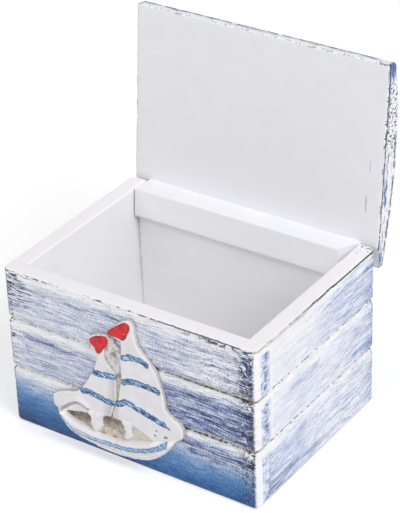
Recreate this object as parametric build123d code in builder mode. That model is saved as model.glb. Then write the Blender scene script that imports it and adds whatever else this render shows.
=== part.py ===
from build123d import *
import os
from math import cos, hypot, radians, sin, tan

# Body of the chest, outside sizes
body_width = 110.0
body_depth = 82.0
body_height = 68.0
board = 6.8
bottom_thickness = 6.8
corner_radius = 2.4
foot_radius = 2.2
rim_radius = 0.8

# V grooves that run round the outside and divide it into three planks
lower_groove_height = 25.0
upper_groove_height = 46.3
groove_depth = 1.3

# Hinge pins, driven through the side walls into the rail, and filled over like the brads
pin_from_back = 5.6
pin_below_rim = 6.7
pin_diameter = 1.8
pin_head_diameter = 3.4
pin_head_thickness = 0.7
pin_depth_in_rail = 9.0
pin_end_clearance = 0.5
pin_running_clearance = 0.05

# Lid slab, with a flat underside and a shallow dome on top
lid_front_overhang = 1.4
lid_edge_thickness = 4.85
lid_crown_thickness = 9.85
lid_rear_reach = 2.8
lid_arris_radius = 0.9
open_angle = 95.7

# Hinge rail under the rear of the lid; its right end is sawn out of square
rail_height = 10.5
rail_front_reach = 6.9
rail_end_gap = 0.6
rail_skew = 3.4
rail_sweep_radius = 1.5
rail_arris_radius = 0.5
sweep_clearance = 0.3

# Brads that hold the boards and the rail, set below the surface and filled over
filler_depth = 0.8
brad_diameter = 1.2
brad_head_diameter = 1.8
brad_head_thickness = 0.5
nail_point_length = 1.4
brad_length = 16.0
rail_brad_length = 14.0
rail_brad_spacing = 30.0
rail_brad_inset = 2.5
bottom_brad_spacing_x = 32.0
bottom_brad_spacing_y = 18.0
bottom_brad_height = 4.4

# Cast sailboat on the front, with its keel's middle at this place
ornament_x = -4.0
ornament_z = 4.8
backing_thickness = 1.5
post_thickness = 2.4
sail_thickness = 3.0
pennant_thickness = 3.6
hull_thickness = 4.2
sail_bevel = 0.7
pennant_bevel = 0.4
hull_round = 0.9

# Places worked out from the sizes above
half_width = body_width / 2
half_depth = body_depth / 2
inner_width = body_width - 2 * board
inner_half_depth = half_depth - board
side_center = half_width - board / 2
pin_y = half_depth - pin_from_back
pin_z = body_height - pin_below_rim
pin_length = board - filler_depth + rail_end_gap + pin_depth_in_rail
lid_rear = lid_rear_reach
lid_front = -pin_y - half_depth - lid_front_overhang
lid_underside = pin_below_rim
rail_half_length = inner_width / 2 - rail_end_gap
rail_width = rail_front_reach + pin_from_back
rail_drop = rail_height - pin_below_rim
bore_bottom = rail_half_length - pin_depth_in_rail - pin_end_clearance
relief_radius = hypot(pin_from_back, pin_below_rim) + sweep_clearance
groove_heights = (lower_groove_height, upper_groove_height)
plank_centers = (
    lower_groove_height / 2,
    (lower_groove_height + upper_groove_height) / 2,
    (upper_groove_height + body_height) / 2,
)

# The back wall stops below the rail, which turns over it and comes down on it when open
sweep_reach = hypot(pin_from_back - rail_sweep_radius, rail_drop - rail_sweep_radius) + rail_sweep_radius
stop_reach = pin_from_back * tan(radians(open_angle / 2))
back_height = pin_z - max(sweep_reach, stop_reach) - sweep_clearance

# Planes of the nail heads, just below the outside of the body
front_heads = Plane(origin=(0, filler_depth - half_depth, 0), x_dir=(1, 0, 0), z_dir=(0, -1, 0))
right_heads = Plane(origin=(half_width - filler_depth, 0, 0), x_dir=(0, 1, 0), z_dir=(1, 0, 0))
left_heads = Plane(origin=(filler_depth - half_width, 0, 0), x_dir=(0, -1, 0), z_dir=(-1, 0, 0))

# The lid's own frame sits on the pin axis: x along the pin, y to the lid's rear edge and z out
# of the lid's top. It is swung open here; closed, it would lie square with the body.
lid_frame = Plane(
    origin=(0, pin_y, pin_z),
    x_dir=(1, 0, 0),
    z_dir=(0, sin(radians(open_angle)), cos(radians(open_angle))),
)
along = lid_frame.x_dir
to_rear = lid_frame.y_dir
to_top = lid_frame.z_dir
lid_side = Plane(origin=lid_frame.origin - along * half_width, x_dir=to_rear, z_dir=along)
rail_rear_face = Plane(origin=lid_frame.origin + to_rear * pin_from_back, x_dir=along, z_dir=-to_rear)
rail_heads_origin = lid_frame.origin - to_top * (rail_drop - filler_depth)
rail_heads = Plane(origin=rail_heads_origin, x_dir=along, z_dir=-to_top)


def nail(length, shank_diameter, head_diameter, head_thickness):
    """A round nail with its head at the origin and its point down the Z axis."""
    with BuildPart() as shape:
        with BuildSketch(Plane.XZ):
            with BuildLine():
                Polyline(
                    (0, 0),
                    (head_diameter / 2, 0),
                    (head_diameter / 2, -head_thickness),
                    (shank_diameter / 2, -head_thickness),
                    (shank_diameter / 2, nail_point_length - length),
                    (0, -length),
                    close=True,
                )
            make_face()
        revolve(axis=Axis.Z)
    return shape.part


brad = nail(brad_length, brad_diameter, brad_head_diameter, brad_head_thickness)
rail_brad = nail(rail_brad_length, brad_diameter, brad_head_diameter, brad_head_thickness)
pin = nail(pin_length, pin_diameter, pin_head_diameter, pin_head_thickness)

# Hinge pins, tight in the side walls and free in the rail
with BuildPart(left_heads) as hinge_pin_left:
    with Locations((-pin_y, pin_z)):
        add(pin)

with BuildPart(right_heads) as hinge_pin_right:
    with Locations((pin_y, pin_z)):
        add(pin)

# Brads through the front wall into the side walls
with BuildPart(front_heads) as front_brads:
    for x in (-side_center, side_center):
        with Locations(*[(x, height) for height in plank_centers]):
            add(brad)

# Brads through the side walls into the back wall
with BuildPart(right_heads) as back_brads:
    with Locations(*[(half_depth - board / 2, height) for height in plank_centers[:2]]):
        add(brad)
    mirror(about=Plane.YZ)

# Brads through all four walls into the bottom board
with BuildPart(front_heads) as bottom_brads:
    with Locations(*[(x, bottom_brad_height) for x in (-bottom_brad_spacing_x, bottom_brad_spacing_x)]):
        add(brad)
    mirror(about=Plane.XZ)

with BuildPart(right_heads) as bottom_side_brads:
    with Locations(*[(y, bottom_brad_height) for y in (-bottom_brad_spacing_y, bottom_brad_spacing_y)]):
        add(brad)
    mirror(about=Plane.YZ)

# Brads through the rail into the lid
with BuildPart(rail_heads) as rail_brads:
    with Locations(*[(x, rail_brad_inset) for x in (-rail_brad_spacing, 0, rail_brad_spacing)]):
        add(rail_brad)

# Outside of the body: a rounded block with the V grooves swept round it
with BuildSketch() as body_outline:
    RectangleRounded(body_width, body_depth, corner_radius)

with BuildPart() as outer_body:
    add(body_outline.sketch)
    extrude(amount=body_height)
    fillet(outer_body.faces().sort_by(Axis.Z)[0].edges(), foot_radius)
    fillet(outer_body.faces().sort_by(Axis.Z)[-1].edges(), rim_radius)
    for height in groove_heights:
        with BuildSketch(Plane.YZ):
            with BuildLine():
                Polyline(
                    (-half_depth + groove_depth, height),
                    (-half_depth - groove_depth, height + 2 * groove_depth),
                    (-half_depth - groove_depth, height - 2 * groove_depth),
                    close=True,
                )
            make_face()
        sweep(path=body_outline.sketch.wires()[0].moved(Pos(0, 0, height)), mode=Mode.SUBTRACT)

# Front and side walls in one, open at the back, with the inner edge of their rim rounded
with BuildPart() as three_walls:
    add(outer_body.part)
    with BuildSketch():
        with Locations((0, -inner_half_depth)):
            Rectangle(inner_width, body_depth, align=(Align.CENTER, Align.MIN))
    extrude(amount=body_height, mode=Mode.SUBTRACT)
    inner_reach = inner_width / 2 + rim_radius
    rim_edges = three_walls.faces().sort_by(Axis.Z)[-1].edges()
    rim_edges = rim_edges.filter_by_position(Axis.X, -inner_reach, inner_reach)
    rim_edges = rim_edges.filter_by_position(Axis.Y, -inner_half_depth - rim_radius, half_depth)
    fillet(rim_edges, rim_radius)

# Front wall, full width
with BuildPart() as front_wall:
    add(three_walls.part)
    with BuildSketch():
        with Locations((0, -half_depth)):
            Rectangle(body_width, board, align=(Align.CENTER, Align.MIN))
    extrude(amount=body_height, mode=Mode.INTERSECT)
    add(front_brads.part, mode=Mode.SUBTRACT)
    add(bottom_brads.part, mode=Mode.SUBTRACT)

# Side walls, from the front wall to the back face
with BuildPart() as right_wall:
    add(three_walls.part)
    with BuildSketch():
        with Locations((half_width, -inner_half_depth)):
            Rectangle(board, body_depth - board, align=(Align.MAX, Align.MIN))
    extrude(amount=body_height, mode=Mode.INTERSECT)
    add(front_brads.part, mode=Mode.SUBTRACT)
    add(back_brads.part, mode=Mode.SUBTRACT)
    add(bottom_side_brads.part, mode=Mode.SUBTRACT)
    add(hinge_pin_right.part, mode=Mode.SUBTRACT)

with BuildPart() as left_wall:
    add(mirror(right_wall.part, about=Plane.YZ, mode=Mode.PRIVATE))

# Back wall, between the side walls and below the rail
with BuildPart() as back_wall:
    add(outer_body.part)
    with BuildSketch():
        with Locations((0, half_depth)):
            Rectangle(inner_width, board, align=(Align.CENTER, Align.MAX))
    extrude(amount=back_height, mode=Mode.INTERSECT)
    add(back_brads.part, mode=Mode.SUBTRACT)
    add(bottom_brads.part, mode=Mode.SUBTRACT)

# Bottom board, inside the four walls and flush with their feet
with BuildPart() as bottom_board:
    with BuildSketch():
        Rectangle(inner_width, 2 * inner_half_depth)
    extrude(amount=bottom_thickness)
    add(bottom_brads.part, mode=Mode.SUBTRACT)
    add(bottom_side_brads.part, mode=Mode.SUBTRACT)

# Lid: flat below and domed above, relieved below where it turns past the side walls' corners
with BuildPart() as lid:
    with BuildSketch(lid_side):
        with BuildLine():
            Line((lid_front, lid_underside), (lid_rear, lid_underside))
            Line((lid_rear, lid_underside), (lid_rear, lid_underside + lid_edge_thickness))
            ThreePointArc(
                (lid_rear, lid_underside + lid_edge_thickness),
                ((lid_rear + lid_front) / 2, lid_underside + lid_crown_thickness),
                (lid_front, lid_underside + lid_edge_thickness),
            )
            Line((lid_front, lid_underside + lid_edge_thickness), (lid_front, lid_underside))
        make_face()
    extrude(amount=body_width)
    fillet(lid.edges(), lid_arris_radius)
    for side in (-1, 1):
        with BuildSketch(Plane.YZ.offset(side * rail_half_length)):
            with Locations((pin_y, pin_z)):
                Circle(relief_radius)
        extrude(amount=side * (half_width - rail_half_length), mode=Mode.SUBTRACT)
    add(rail_brads.part, mode=Mode.SUBTRACT)

# Hinge rail, bored for the pins, with a rounded edge where it turns over the back wall
with BuildPart() as hinge_rail:
    with BuildSketch(rail_rear_face):
        with BuildLine():
            Polyline(
                (-rail_half_length, pin_below_rim),
                (-rail_half_length, -rail_drop),
                (rail_half_length - rail_skew, -rail_drop),
                (rail_half_length, pin_below_rim),
                close=True,
            )
        make_face()
    extrude(amount=rail_width)
    long_edges = hinge_rail.edges().filter_by(Axis.X)
    lower_edges = long_edges.group_by(Axis((0, 0, 0), to_top))[0]
    fillet(lower_edges.sort_by(Axis((0, 0, 0), to_rear))[-1], rail_sweep_radius)
    long_edges = hinge_rail.edges().filter_by(Axis.X)
    lower_edges = long_edges.group_by(Axis((0, 0, 0), to_rear))[0]
    fillet(lower_edges.sort_by(Axis((0, 0, 0), to_top))[0], rail_arris_radius)
    for side in (-1, 1):
        with BuildSketch(Plane.YZ.offset(side * bore_bottom)):
            with Locations((pin_y, pin_z)):
                Circle(pin_diameter / 2 + pin_running_clearance)
        extrude(amount=side * (inner_width / 2 - bore_bottom), mode=Mode.SUBTRACT)
    add(rail_brads.part, mode=Mode.SUBTRACT)

# Sailboat ornament, one casting, drawn on the front face from the keel's middle: x right, y up
ornament_face = Plane(origin=(ornament_x, -half_depth, ornament_z), x_dir=(1, 0, 0), z_dir=(0, -1, 0))
bow = (-27.6, 11.4)
stern = (25.2, 14.6)
keel = ((-25.6, 6.8), (-20.0, 2.4), (-4.0, 0.0), (12.0, 2.0), (20.8, 8.0))
sheer = ((15.0, 10.4), (-3.0, 5.6), (-19.0, 7.4))
main_head = ((3.0, 50.0), (-3.0, 52.4), (1.8, 57.2), (6.6, 60.2), (9.0, 59.0), (9.4, 54.4))
main_leech = ((15.4, 46.0), (19.6, 36.0))
main_clew = (20.9, 26.2)
stern_flare = ((24.6, 23.4), (27.6, 21.0), (28.8, 18.2), (27.4, 15.4))
main_corner = (24.0, 13.7)
main_tip = (16.4, 11.2)
main_foot = (7.0, 15.0)
main_tack = (-2.0, 14.6)
main_luff = ((1.6, 27.0), (2.8, 39.0))
fore_head = ((-8.8, 41.6), (-12.0, 47.4), (-7.6, 50.1), (-2.6, 51.2), (-1.2, 49.8), (-3.0, 44.4))
fore_leech = ((0.8, 35.2), (1.0, 27.0))
fore_clew = (-3.2, 15.2)
fore_foot = (-14.0, 13.4)
fore_corner = (-26.2, 10.2)
fore_luff = ((-30.0, 14.6), (-25.0, 20.0), (-19.0, 22.0), (-12.0, 31.4))
fore_post = ((-14.2, 14.0), (-8.2, 15.0), (-6.4, 6.4), (-12.4, 6.8))
main_post = ((2.2, 15.6), (6.0, 15.4), (6.2, 7.4), (2.4, 6.6))
main_pennant = ((-2.0, 52.8), (2.2, 56.4), (6.5, 59.2), (8.1, 58.2), (8.0, 55.8), (5.6, 51.6), (2.2, 51.4))
fore_pennant = ((-11.0, 47.2), (-7.4, 49.2), (-2.9, 50.3), (-2.0, 49.2), (-3.6, 45.4), (-7.2, 42.7))
deck = ((-25.0, 12.8), (-24.0, 8.6), (-3.0, 3.4), (15.0, 8.0), (21.0, 12.2), (19.0, 14.6))
gap_between_sails = ((9.0, 17.5), (5.5, 30.0), (6.0, 48.0), (2.6, 53.4), (-2.0, 52.7), (-3.4, 50.0))
fore_side = ((-5.4, 44.0), (-2.0, 34.0), (-2.0, 27.0), (-6.0, 17.0), (-20.0, 15.6))

with BuildPart() as main_sail:
    with BuildSketch(ornament_face):
        with BuildLine():
            Polyline(*main_head)
            Spline(main_head[-1], *main_leech, main_clew)
            Spline(main_clew, *stern_flare, main_corner)
            Line(main_corner, main_tip)
            Spline(main_tip, main_foot, main_tack)
            Spline(main_tack, *main_luff, main_head[0])
        make_face()
    extrude(amount=sail_thickness)
    chamfer(main_sail.faces().sort_by(Axis.Y)[0].edges(), sail_bevel)

with BuildPart() as fore_sail:
    with BuildSketch(ornament_face):
        with BuildLine():
            Polyline(*fore_head)
            Spline(fore_head[-1], *fore_leech, fore_clew)
            Spline(fore_clew, fore_foot, fore_corner)
            Spline(fore_corner, *fore_luff, fore_head[0])
        make_face()
    extrude(amount=sail_thickness)
    chamfer(fore_sail.faces().sort_by(Axis.Y)[0].edges(), sail_bevel)

with BuildPart() as pennants:
    with BuildSketch(ornament_face):
        for pennant in (main_pennant, fore_pennant):
            with BuildLine():
                Polyline(*pennant, close=True)
            make_face()
    extrude(amount=pennant_thickness)
    chamfer(pennants.faces().group_by(Axis.Y)[0].edges(), pennant_bevel)

with BuildPart() as hull:
    with BuildSketch(ornament_face):
        with BuildLine():
            Spline(bow, *keel, stern)
            Spline(stern, *sheer, bow)
        make_face()
    extrude(amount=hull_thickness)
    fillet(hull.faces().sort_by(Axis.Y)[0].edges(), hull_round)

with BuildPart() as sailboat:
    with BuildSketch(ornament_face):
        with BuildLine():
            Polyline(*deck, *gap_between_sails, *fore_side, close=True)
        make_face()
    extrude(amount=backing_thickness)
    with BuildSketch(ornament_face):
        for post in (fore_post, main_post):
            with BuildLine():
                Polyline(*post, close=True)
            make_face()
    extrude(amount=post_thickness)
    add(main_sail.part)
    add(fore_sail.part)
    add(pennants.part)
    add(hull.part)

# One file for each piece
pieces = {
    "front_wall": front_wall,
    "back_wall": back_wall,
    "left_wall": left_wall,
    "right_wall": right_wall,
    "bottom_board": bottom_board,
    "lid": lid,
    "hinge_rail": hinge_rail,
    "hinge_pin_left": hinge_pin_left,
    "hinge_pin_right": hinge_pin_right,
    "front_brads": front_brads,
    "back_brads": back_brads,
    "bottom_brads": bottom_brads,
    "bottom_side_brads": bottom_side_brads,
    "rail_brads": rail_brads,
    "sailboat": sailboat,
}
os.makedirs("parts", exist_ok=True)
for name, piece in pieces.items():
    piece.part.label = name
    export_step(piece.part, f"parts/{name}.step")
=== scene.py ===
from math import cos, radians, sin

import bpy
import numpy as np
from mathutils import Matrix, Vector
from mathutils.geometry import delaunay_2d_cdt


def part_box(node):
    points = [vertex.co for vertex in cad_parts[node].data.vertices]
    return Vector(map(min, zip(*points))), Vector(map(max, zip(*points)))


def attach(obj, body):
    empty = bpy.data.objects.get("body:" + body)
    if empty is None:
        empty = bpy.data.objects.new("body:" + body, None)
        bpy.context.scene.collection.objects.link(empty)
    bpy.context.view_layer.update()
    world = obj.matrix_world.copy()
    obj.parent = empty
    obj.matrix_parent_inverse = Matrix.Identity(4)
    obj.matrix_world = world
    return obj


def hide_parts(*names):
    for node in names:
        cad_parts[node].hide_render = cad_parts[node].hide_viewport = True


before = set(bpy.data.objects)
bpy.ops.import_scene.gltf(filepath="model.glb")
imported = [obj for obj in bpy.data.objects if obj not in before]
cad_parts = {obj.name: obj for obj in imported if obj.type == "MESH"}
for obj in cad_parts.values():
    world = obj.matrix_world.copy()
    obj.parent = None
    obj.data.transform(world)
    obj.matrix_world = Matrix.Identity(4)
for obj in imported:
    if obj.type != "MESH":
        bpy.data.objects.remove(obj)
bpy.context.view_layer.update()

# Sizes of the chest in millimetres, with its front towards -Y and the middle of its foot at the origin
MM = 0.001
half_width = 55.0
half_depth = 41.0
body_height = 68.0
board = 6.8
bottom_thickness = 6.8
corner_radius = 2.4
foot_radius = 2.2
rim_radius = 0.8
grooves = (25.0, 46.3)
groove_depth = 1.3
groove_reach = 2.6
back_height = 54.8
inner_half_width = half_width - board
inner_half_depth = half_depth - board

# The lid turns about the pins, and its own frame sits on their axis, y to its rear edge, z out of its top
pin_y = 35.4
pin_z = 61.3
open_angle = 95.7
lid_front = -77.8
lid_rear = 2.8
lid_underside = 6.7
lid_edge = 4.85
lid_crown = 9.85
lid_arris = 0.9
relief_start = 47.6
relief_radius = 9.03
rail_front = -6.9
rail_rear = 5.6
rail_low = -3.8
rail_radius = 1.5
rail_skew = 3.4
to_top = np.array([0.0, sin(radians(open_angle)), cos(radians(open_angle))])
to_rear = np.array([0.0, cos(radians(open_angle)), -sin(radians(open_angle))])

# The sailboat is drawn on the front face from the middle of its keel: across, up, and out of the face
boat_x = -4.0
boat_z = 4.8
hull_top = 4.0
post_top = 2.4
pennant_top = 2.3
sail_top = 1.8
lump_top = 1.5
backing_top = 1.2

# Pitches of the meshes
wall_pitch = 1.0
groove_pitch = 0.26
arris_pitch = 0.2
corner_pitch = 0.4
face_pitch = 0.75
bottom_pitch = 4.0
cast_pitch = 0.27

# Differences that count as none
sliver = 0.01
touching = 1e-6
tiny = 1e-9

# Camera, floor and sky, in metres and degrees
camera_place = (0.3718, -0.5215, 0.4482)
camera_turn = 35.136
camera_tilt = 30.678
camera_roll = -2.15
camera_lens = 182.92
floor_reach = 4.0
floor_drop = 0.0002
floor_glow = 0.32
sky_light = 0.45


# Numbers and colours on a surface


class Value:
    """A number that varies over a surface. Sums of values make the nodes that work them out."""

    def __init__(self, tree, socket):
        self.tree = tree
        self.socket = socket

    def math(self, operation, other):
        node = self.tree.nodes.new("ShaderNodeMath")
        node.operation = operation
        plug(self.tree, self, node.inputs[0])
        plug(self.tree, other, node.inputs[1])
        return Value(self.tree, node.outputs[0])

    def __add__(self, other):
        return self.math("ADD", other)

    def __sub__(self, other):
        return self.math("SUBTRACT", other)

    def __mul__(self, other):
        return self.math("MULTIPLY", other)

    def __truediv__(self, other):
        return self.math("DIVIDE", other)

    def __radd__(self, other):
        return self + other

    def __rmul__(self, other):
        return self * other

    def __rsub__(self, other):
        return self * -1.0 + other

    def __abs__(self):
        return self.math("ABSOLUTE", 0.0)

    def least(self, other):
        return self.math("MINIMUM", other)

    def most(self, *others):
        result = self
        for other in others:
            result = result.math("MAXIMUM", other)
        return result

    def below(self, limit):
        return self.math("LESS_THAN", limit)

    def ramp(self, start, end):
        """0 at start and beyond, 1 at end and beyond, smooth between. Start may be the higher one."""
        node = self.tree.nodes.new("ShaderNodeMapRange")
        node.interpolation_type = "SMOOTHSTEP"
        plug(self.tree, self, node.inputs["Value"])
        node.inputs["From Min"].default_value = start
        node.inputs["From Max"].default_value = end
        return Value(self.tree, node.outputs[0])

    def band(self, middle, half, soft):
        """1 within half of the middle, fading to 0 over soft."""
        return abs(self - middle).ramp(half + soft, half)


def plug(tree, part, socket):
    """Puts a value, another socket, a colour or a plain number into a node's socket."""
    if isinstance(part, Value):
        tree.links.new(part.socket, socket)
    elif isinstance(part, bpy.types.NodeSocket):
        tree.links.new(part, socket)
    elif isinstance(part, tuple):
        socket.default_value = linear(part)
    else:
        socket.default_value = part


def linear(colour):
    """A colour written as three numbers from 0 to 255, in Blender's linear numbers."""
    parts = [part / 255 for part in colour]
    return [part / 12.92 if part <= 0.0405 else ((part + 0.055) / 1.055) ** 2.4 for part in parts] + [1.0]


class Finish:
    """One material. Its places x, y and z are in millimetres on the piece as it was made."""

    def __init__(self, name):
        self.material = bpy.data.materials.new(name)
        self.material.use_nodes = True
        self.tree = self.material.node_tree
        self.shader = self.tree.nodes["Principled BSDF"]
        split = self.tree.nodes.new("ShaderNodeSeparateXYZ")
        coordinates = self.tree.nodes.new("ShaderNodeTexCoord")
        self.tree.links.new(coordinates.outputs["Object"], split.inputs[0])
        self.x, self.y, self.z = [Value(self.tree, out) * 1000.0 for out in split.outputs]

    def attribute(self, name):
        node = self.tree.nodes.new("ShaderNodeAttribute")
        node.attribute_name = name
        return Value(self.tree, node.outputs["Fac"])

    def noise(self, x, y, z, detail=1.0, rough=0.5):
        """Cloudy noise, stretched by the places that it is given, spread out over 0 to 1."""
        join = self.tree.nodes.new("ShaderNodeCombineXYZ")
        for place, part in enumerate((x, y, z)):
            plug(self.tree, part, join.inputs[place])
        node = self.tree.nodes.new("ShaderNodeTexNoise")
        node.inputs["Scale"].default_value = 1.0
        node.inputs["Detail"].default_value = detail
        node.inputs["Roughness"].default_value = rough
        self.tree.links.new(join.outputs[0], node.inputs["Vector"])
        return Value(self.tree, node.outputs[0]).ramp(0.22, 0.78)

    def clouds(self, size, detail=3.0):
        """Noise of one size in every direction."""
        return self.noise(self.x / size, self.y / size, self.z / size, detail, 0.6)

    def blend(self, under, over, amount):
        """The colour over laid on the colour under, by an amount from 0 to 1."""
        node = self.tree.nodes.new("ShaderNodeMix")
        node.data_type = "RGBA"
        plug(self.tree, amount, node.inputs[0])
        plug(self.tree, under, node.inputs[6])
        plug(self.tree, over, node.inputs[7])
        return node.outputs[2]

    def layers(self, colour, *coats):
        """Coats laid on a colour, the first one lowest, each a colour and its amount from 0 to 1."""
        for coat, amount in coats:
            colour = self.blend(colour, coat, amount)
        return colour

    def tones(self, amount, stops):
        """A colour from a row of them, each with its place from 0 to 1."""
        node = self.tree.nodes.new("ShaderNodeValToRGB")
        plug(self.tree, amount, node.inputs[0])
        elements = node.color_ramp.elements
        for place, colour in stops[1:-1]:
            elements.new(place).color = linear(colour)
        elements[0].color = linear(stops[0][1])
        elements[-1].color = linear(stops[-1][1])
        return node.outputs[0]

    def complete(self, colour, roughness, relief, relief_depth, specular=0.4):
        """Joins colour, roughness and bump, with its depth in millimetres, to the shader."""
        self.shader.inputs["Specular IOR Level"].default_value = specular
        plug(self.tree, colour, self.shader.inputs["Base Color"])
        plug(self.tree, roughness, self.shader.inputs["Roughness"])
        bump = self.tree.nodes.new("ShaderNodeBump")
        bump.inputs["Strength"].default_value = 1.0
        bump.inputs["Distance"].default_value = relief_depth * MM
        plug(self.tree, relief, bump.inputs["Height"])
        self.tree.links.new(bump.outputs[0], self.shader.inputs["Normal"])
        return self.material


# Paint of the boards

white = (249, 249, 255)
inside_white = (254, 253.4, 254.8)
rim_white = (252, 250, 255)
lid_white = (240, 240, 245)
pale_periwinkle = (198, 203, 222)
ink = (28, 30, 48)
cream = (230, 227, 222)
bare_grey = (206, 202, 200)
tan = (192, 172, 162)
brown = (46, 38, 38)

# Tones of the paint, from bare white at 0 to the heaviest strokes at 1
front_tones = (
    (0.0, (254, 254, 255)),
    (0.19, (234, 237, 248)),
    (0.31, (215, 219, 233)),
    (0.4, (197, 204, 223)),
    (0.5, (168, 179, 209)),
    (0.62, (126, 141, 184)),
    (0.81, (68, 83, 128)),
    (1.0, (40, 48, 82)),
)
side_tones = (
    (0.0, (253, 253, 255)),
    (0.19, (232, 236, 248)),
    (0.31, (214, 220, 241)),
    (0.45, (188, 200, 228)),
    (0.6, (154, 172, 212)),
    (0.8, (110, 130, 178)),
    (1.0, (74, 90, 138)),
)
foot_tones = (
    (0.0, (212, 219, 234)),
    (0.15, (166, 188, 218)),
    (0.35, (100, 144, 194)),
    (0.6, (56, 108, 168)),
    (0.8, (36, 86, 144)),
    (1.0, (18, 54, 96)),
)


class Brushwork:
    """Brush marks along a board, and how far a place is from its plank's top and bottom edges."""

    def __init__(self, finish, along, up, seed):
        self.finish = finish
        self.along = along
        self.up = up
        noise = finish.noise
        waved = up + (noise(along / 18.0, up / 9.0, seed + 61.0) - 0.5) * 1.6
        self.broad = noise(along / 24.0, waved / 1.4, seed, 2.0, 0.55)
        self.fine = noise(along / 8.0, waved / 0.5, seed + 7.0)
        self.hair = noise(along / 3.0, waved / 0.26, seed + 11.0)
        self.cross = noise(along / 0.55, up / 2.2, seed + 13.0)
        self.patches = noise(along / 14.0, up / 5.0, seed + 19.0, 2.0)
        self.flecks = noise(along / 3.2, waved / 0.7, seed + 29.0, 2.0, 0.6)
        self.crumbs = noise(along / 1.1, up / 1.1, seed + 37.0, 2.0, 0.6)
        self.dust = noise(along / 0.5, up / 0.4, seed + 41.0)
        self.lumps = noise(along / 2.8, up / 2.8, seed + 43.0, 2.0, 0.6)
        middle = up.below(grooves[1])
        low = up.below(grooves[0])
        plank = grooves[1] - grooves[0]
        top = body_height - middle * (body_height - grooves[1]) - low * plank
        bottom = grooves[1] - middle * plank - low * grooves[0]
        self.drop = top - up + (noise(along / 22.0, up / 14.0, seed + 51.0) - 0.5) * 1.6
        self.rise = up - bottom
        grain = self.broad * 0.2 + self.fine * 0.3 + self.hair * 0.16
        self.grain = grain + self.cross * 0.14 + self.dust * 0.1 + self.patches * 0.1 - 0.5

    def coat(self, level, contrast, tones):
        """Paint of a level from 0 to 1, broken up by the brush marks, in one of the rows of tones."""
        return self.finish.tones(level + self.grain * contrast, tones)

    def specks(self, start, end):
        """Small marks where crumbs and flecks meet."""
        return (self.crumbs * 0.6 + self.flecks * 0.5).ramp(start, end)

    def groove_tones(self, colour, lips, line):
        """Bare lips and a thin broken dark line in both grooves."""
        broken = (self.flecks * 0.55 + self.crumbs * 0.5 + line).ramp(0.5, 1.0)
        bare = (self.flecks * 0.4 + 0.4) * lips
        for groove in grooves:
            lip = self.up.band(groove, 0.8, 1.1)
            depth = self.up.band(groove - 0.15, 0.1, 0.4)
            colour = self.finish.layers(colour, (cream, bare * lip), (brown, broken * depth * 0.9))
        return colour

    def inside_paint(self):
        """Plain white, with painted shade low on the sides and a painted shadow below the rail, and glue
        in the corners.
        """
        finish = self.finish
        x, y, z = finish.x, finish.y, finish.z
        clouds = finish.clouds(9.0)
        side_inside = abs(x).ramp(inner_half_width - 1.0, inner_half_width - 0.5)
        # Painted shade: the side walls darker towards the bottom and the back
        side_painted_shade = side_inside * (z.ramp(60.0, 14.0) * 0.8 + y.ramp(-14.0, 32.0) * 0.4)
        # Painted shadow on the back wall just below the rail
        rail_painted_shadow = y.ramp(inner_half_depth - 1.0, inner_half_depth - 0.5)
        rail_painted_shadow = rail_painted_shadow * z.ramp(back_height - 3.2, back_height - 0.5)
        wander = (finish.noise(x / 9.0, y / 9.0, z / 5.0, 2.0) - 0.5) * 0.9
        in_corner = (abs(x) + wander).band(inner_half_width, 0.2, 0.35)
        in_corner = in_corner * (abs(y) + wander).band(inner_half_depth, 0.2, 0.35)
        glue = in_corner * z.ramp(body_height - 1.0, body_height - 2.0)
        return finish.layers(
            inside_white,
            ((250, 249.4, 250.8), clouds),
            ((236, 236, 237), side_painted_shade),
            ((220, 220, 222), rail_painted_shadow * 0.4),
            (rim_white, z.ramp(body_height - 1.4, body_height - 0.4)),
            ((198, 198, 200), glue * (clouds * 0.7 + 0.3)),
        )

    def complete(self, colour, chips=0.0):
        """The plain white inside and the painted skin outside, with brush marks in relief."""
        finish = self.finish
        skin = finish.attribute("skin")
        colour = finish.layers(self.inside_paint(), (colour, skin), ((60, 66, 96), chips))
        relief = self.fine + self.broad * 0.5 + self.crumbs * 0.4 + self.cross * 0.2
        roughness = 0.5 + self.fine * 0.14 + skin * 0.12
        return finish.complete(colour, roughness, relief * (skin * 0.85 + 0.15), 0.14)


def front_paint():
    """Periwinkle strokes over white, darker to the right, over a deep blue foot."""
    finish = Finish("front_paint")
    x, z = finish.x, finish.z
    work = Brushwork(finish, x, z, 3.0)
    to_right = x.ramp(-25.0, 36.0)
    colour = work.coat(front_level(work, to_right), to_right * 0.5 + 1.2, front_tones)
    colour = corner_chips(work, colour)
    colour = foot_coat(work, colour)
    colour = torn_edges(work, colour)
    arris = x.ramp(53.0, 53.8) * (work.flecks * 0.35 + 0.65)
    rim_tan = z.band(body_height - 0.6, 0.4, 0.3) * (work.flecks * 0.5 + 0.5)
    ends = finish.blend(end_block(work), tan, rim_tan)
    facing = finish.attribute("facing")
    colour = finish.layers(colour, ((246, 245, 250), arris), (ends, facing.ramp(0.45, 0.7)))
    colour = work.groove_tones(colour, to_right * -0.2 + 0.7, to_right * 0.26 + 0.04)
    left_line = (work.flecks * 0.7 + work.crumbs * 0.4).ramp(0.36, 0.5)
    left_line = left_line * facing.band(0.64, 0.2, 0.1) * x.below(0.0)
    black = front_chips(work).most(rim_line(work), left_line * 0.8)
    return work.complete(finish.blend(colour, ink, black))


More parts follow.
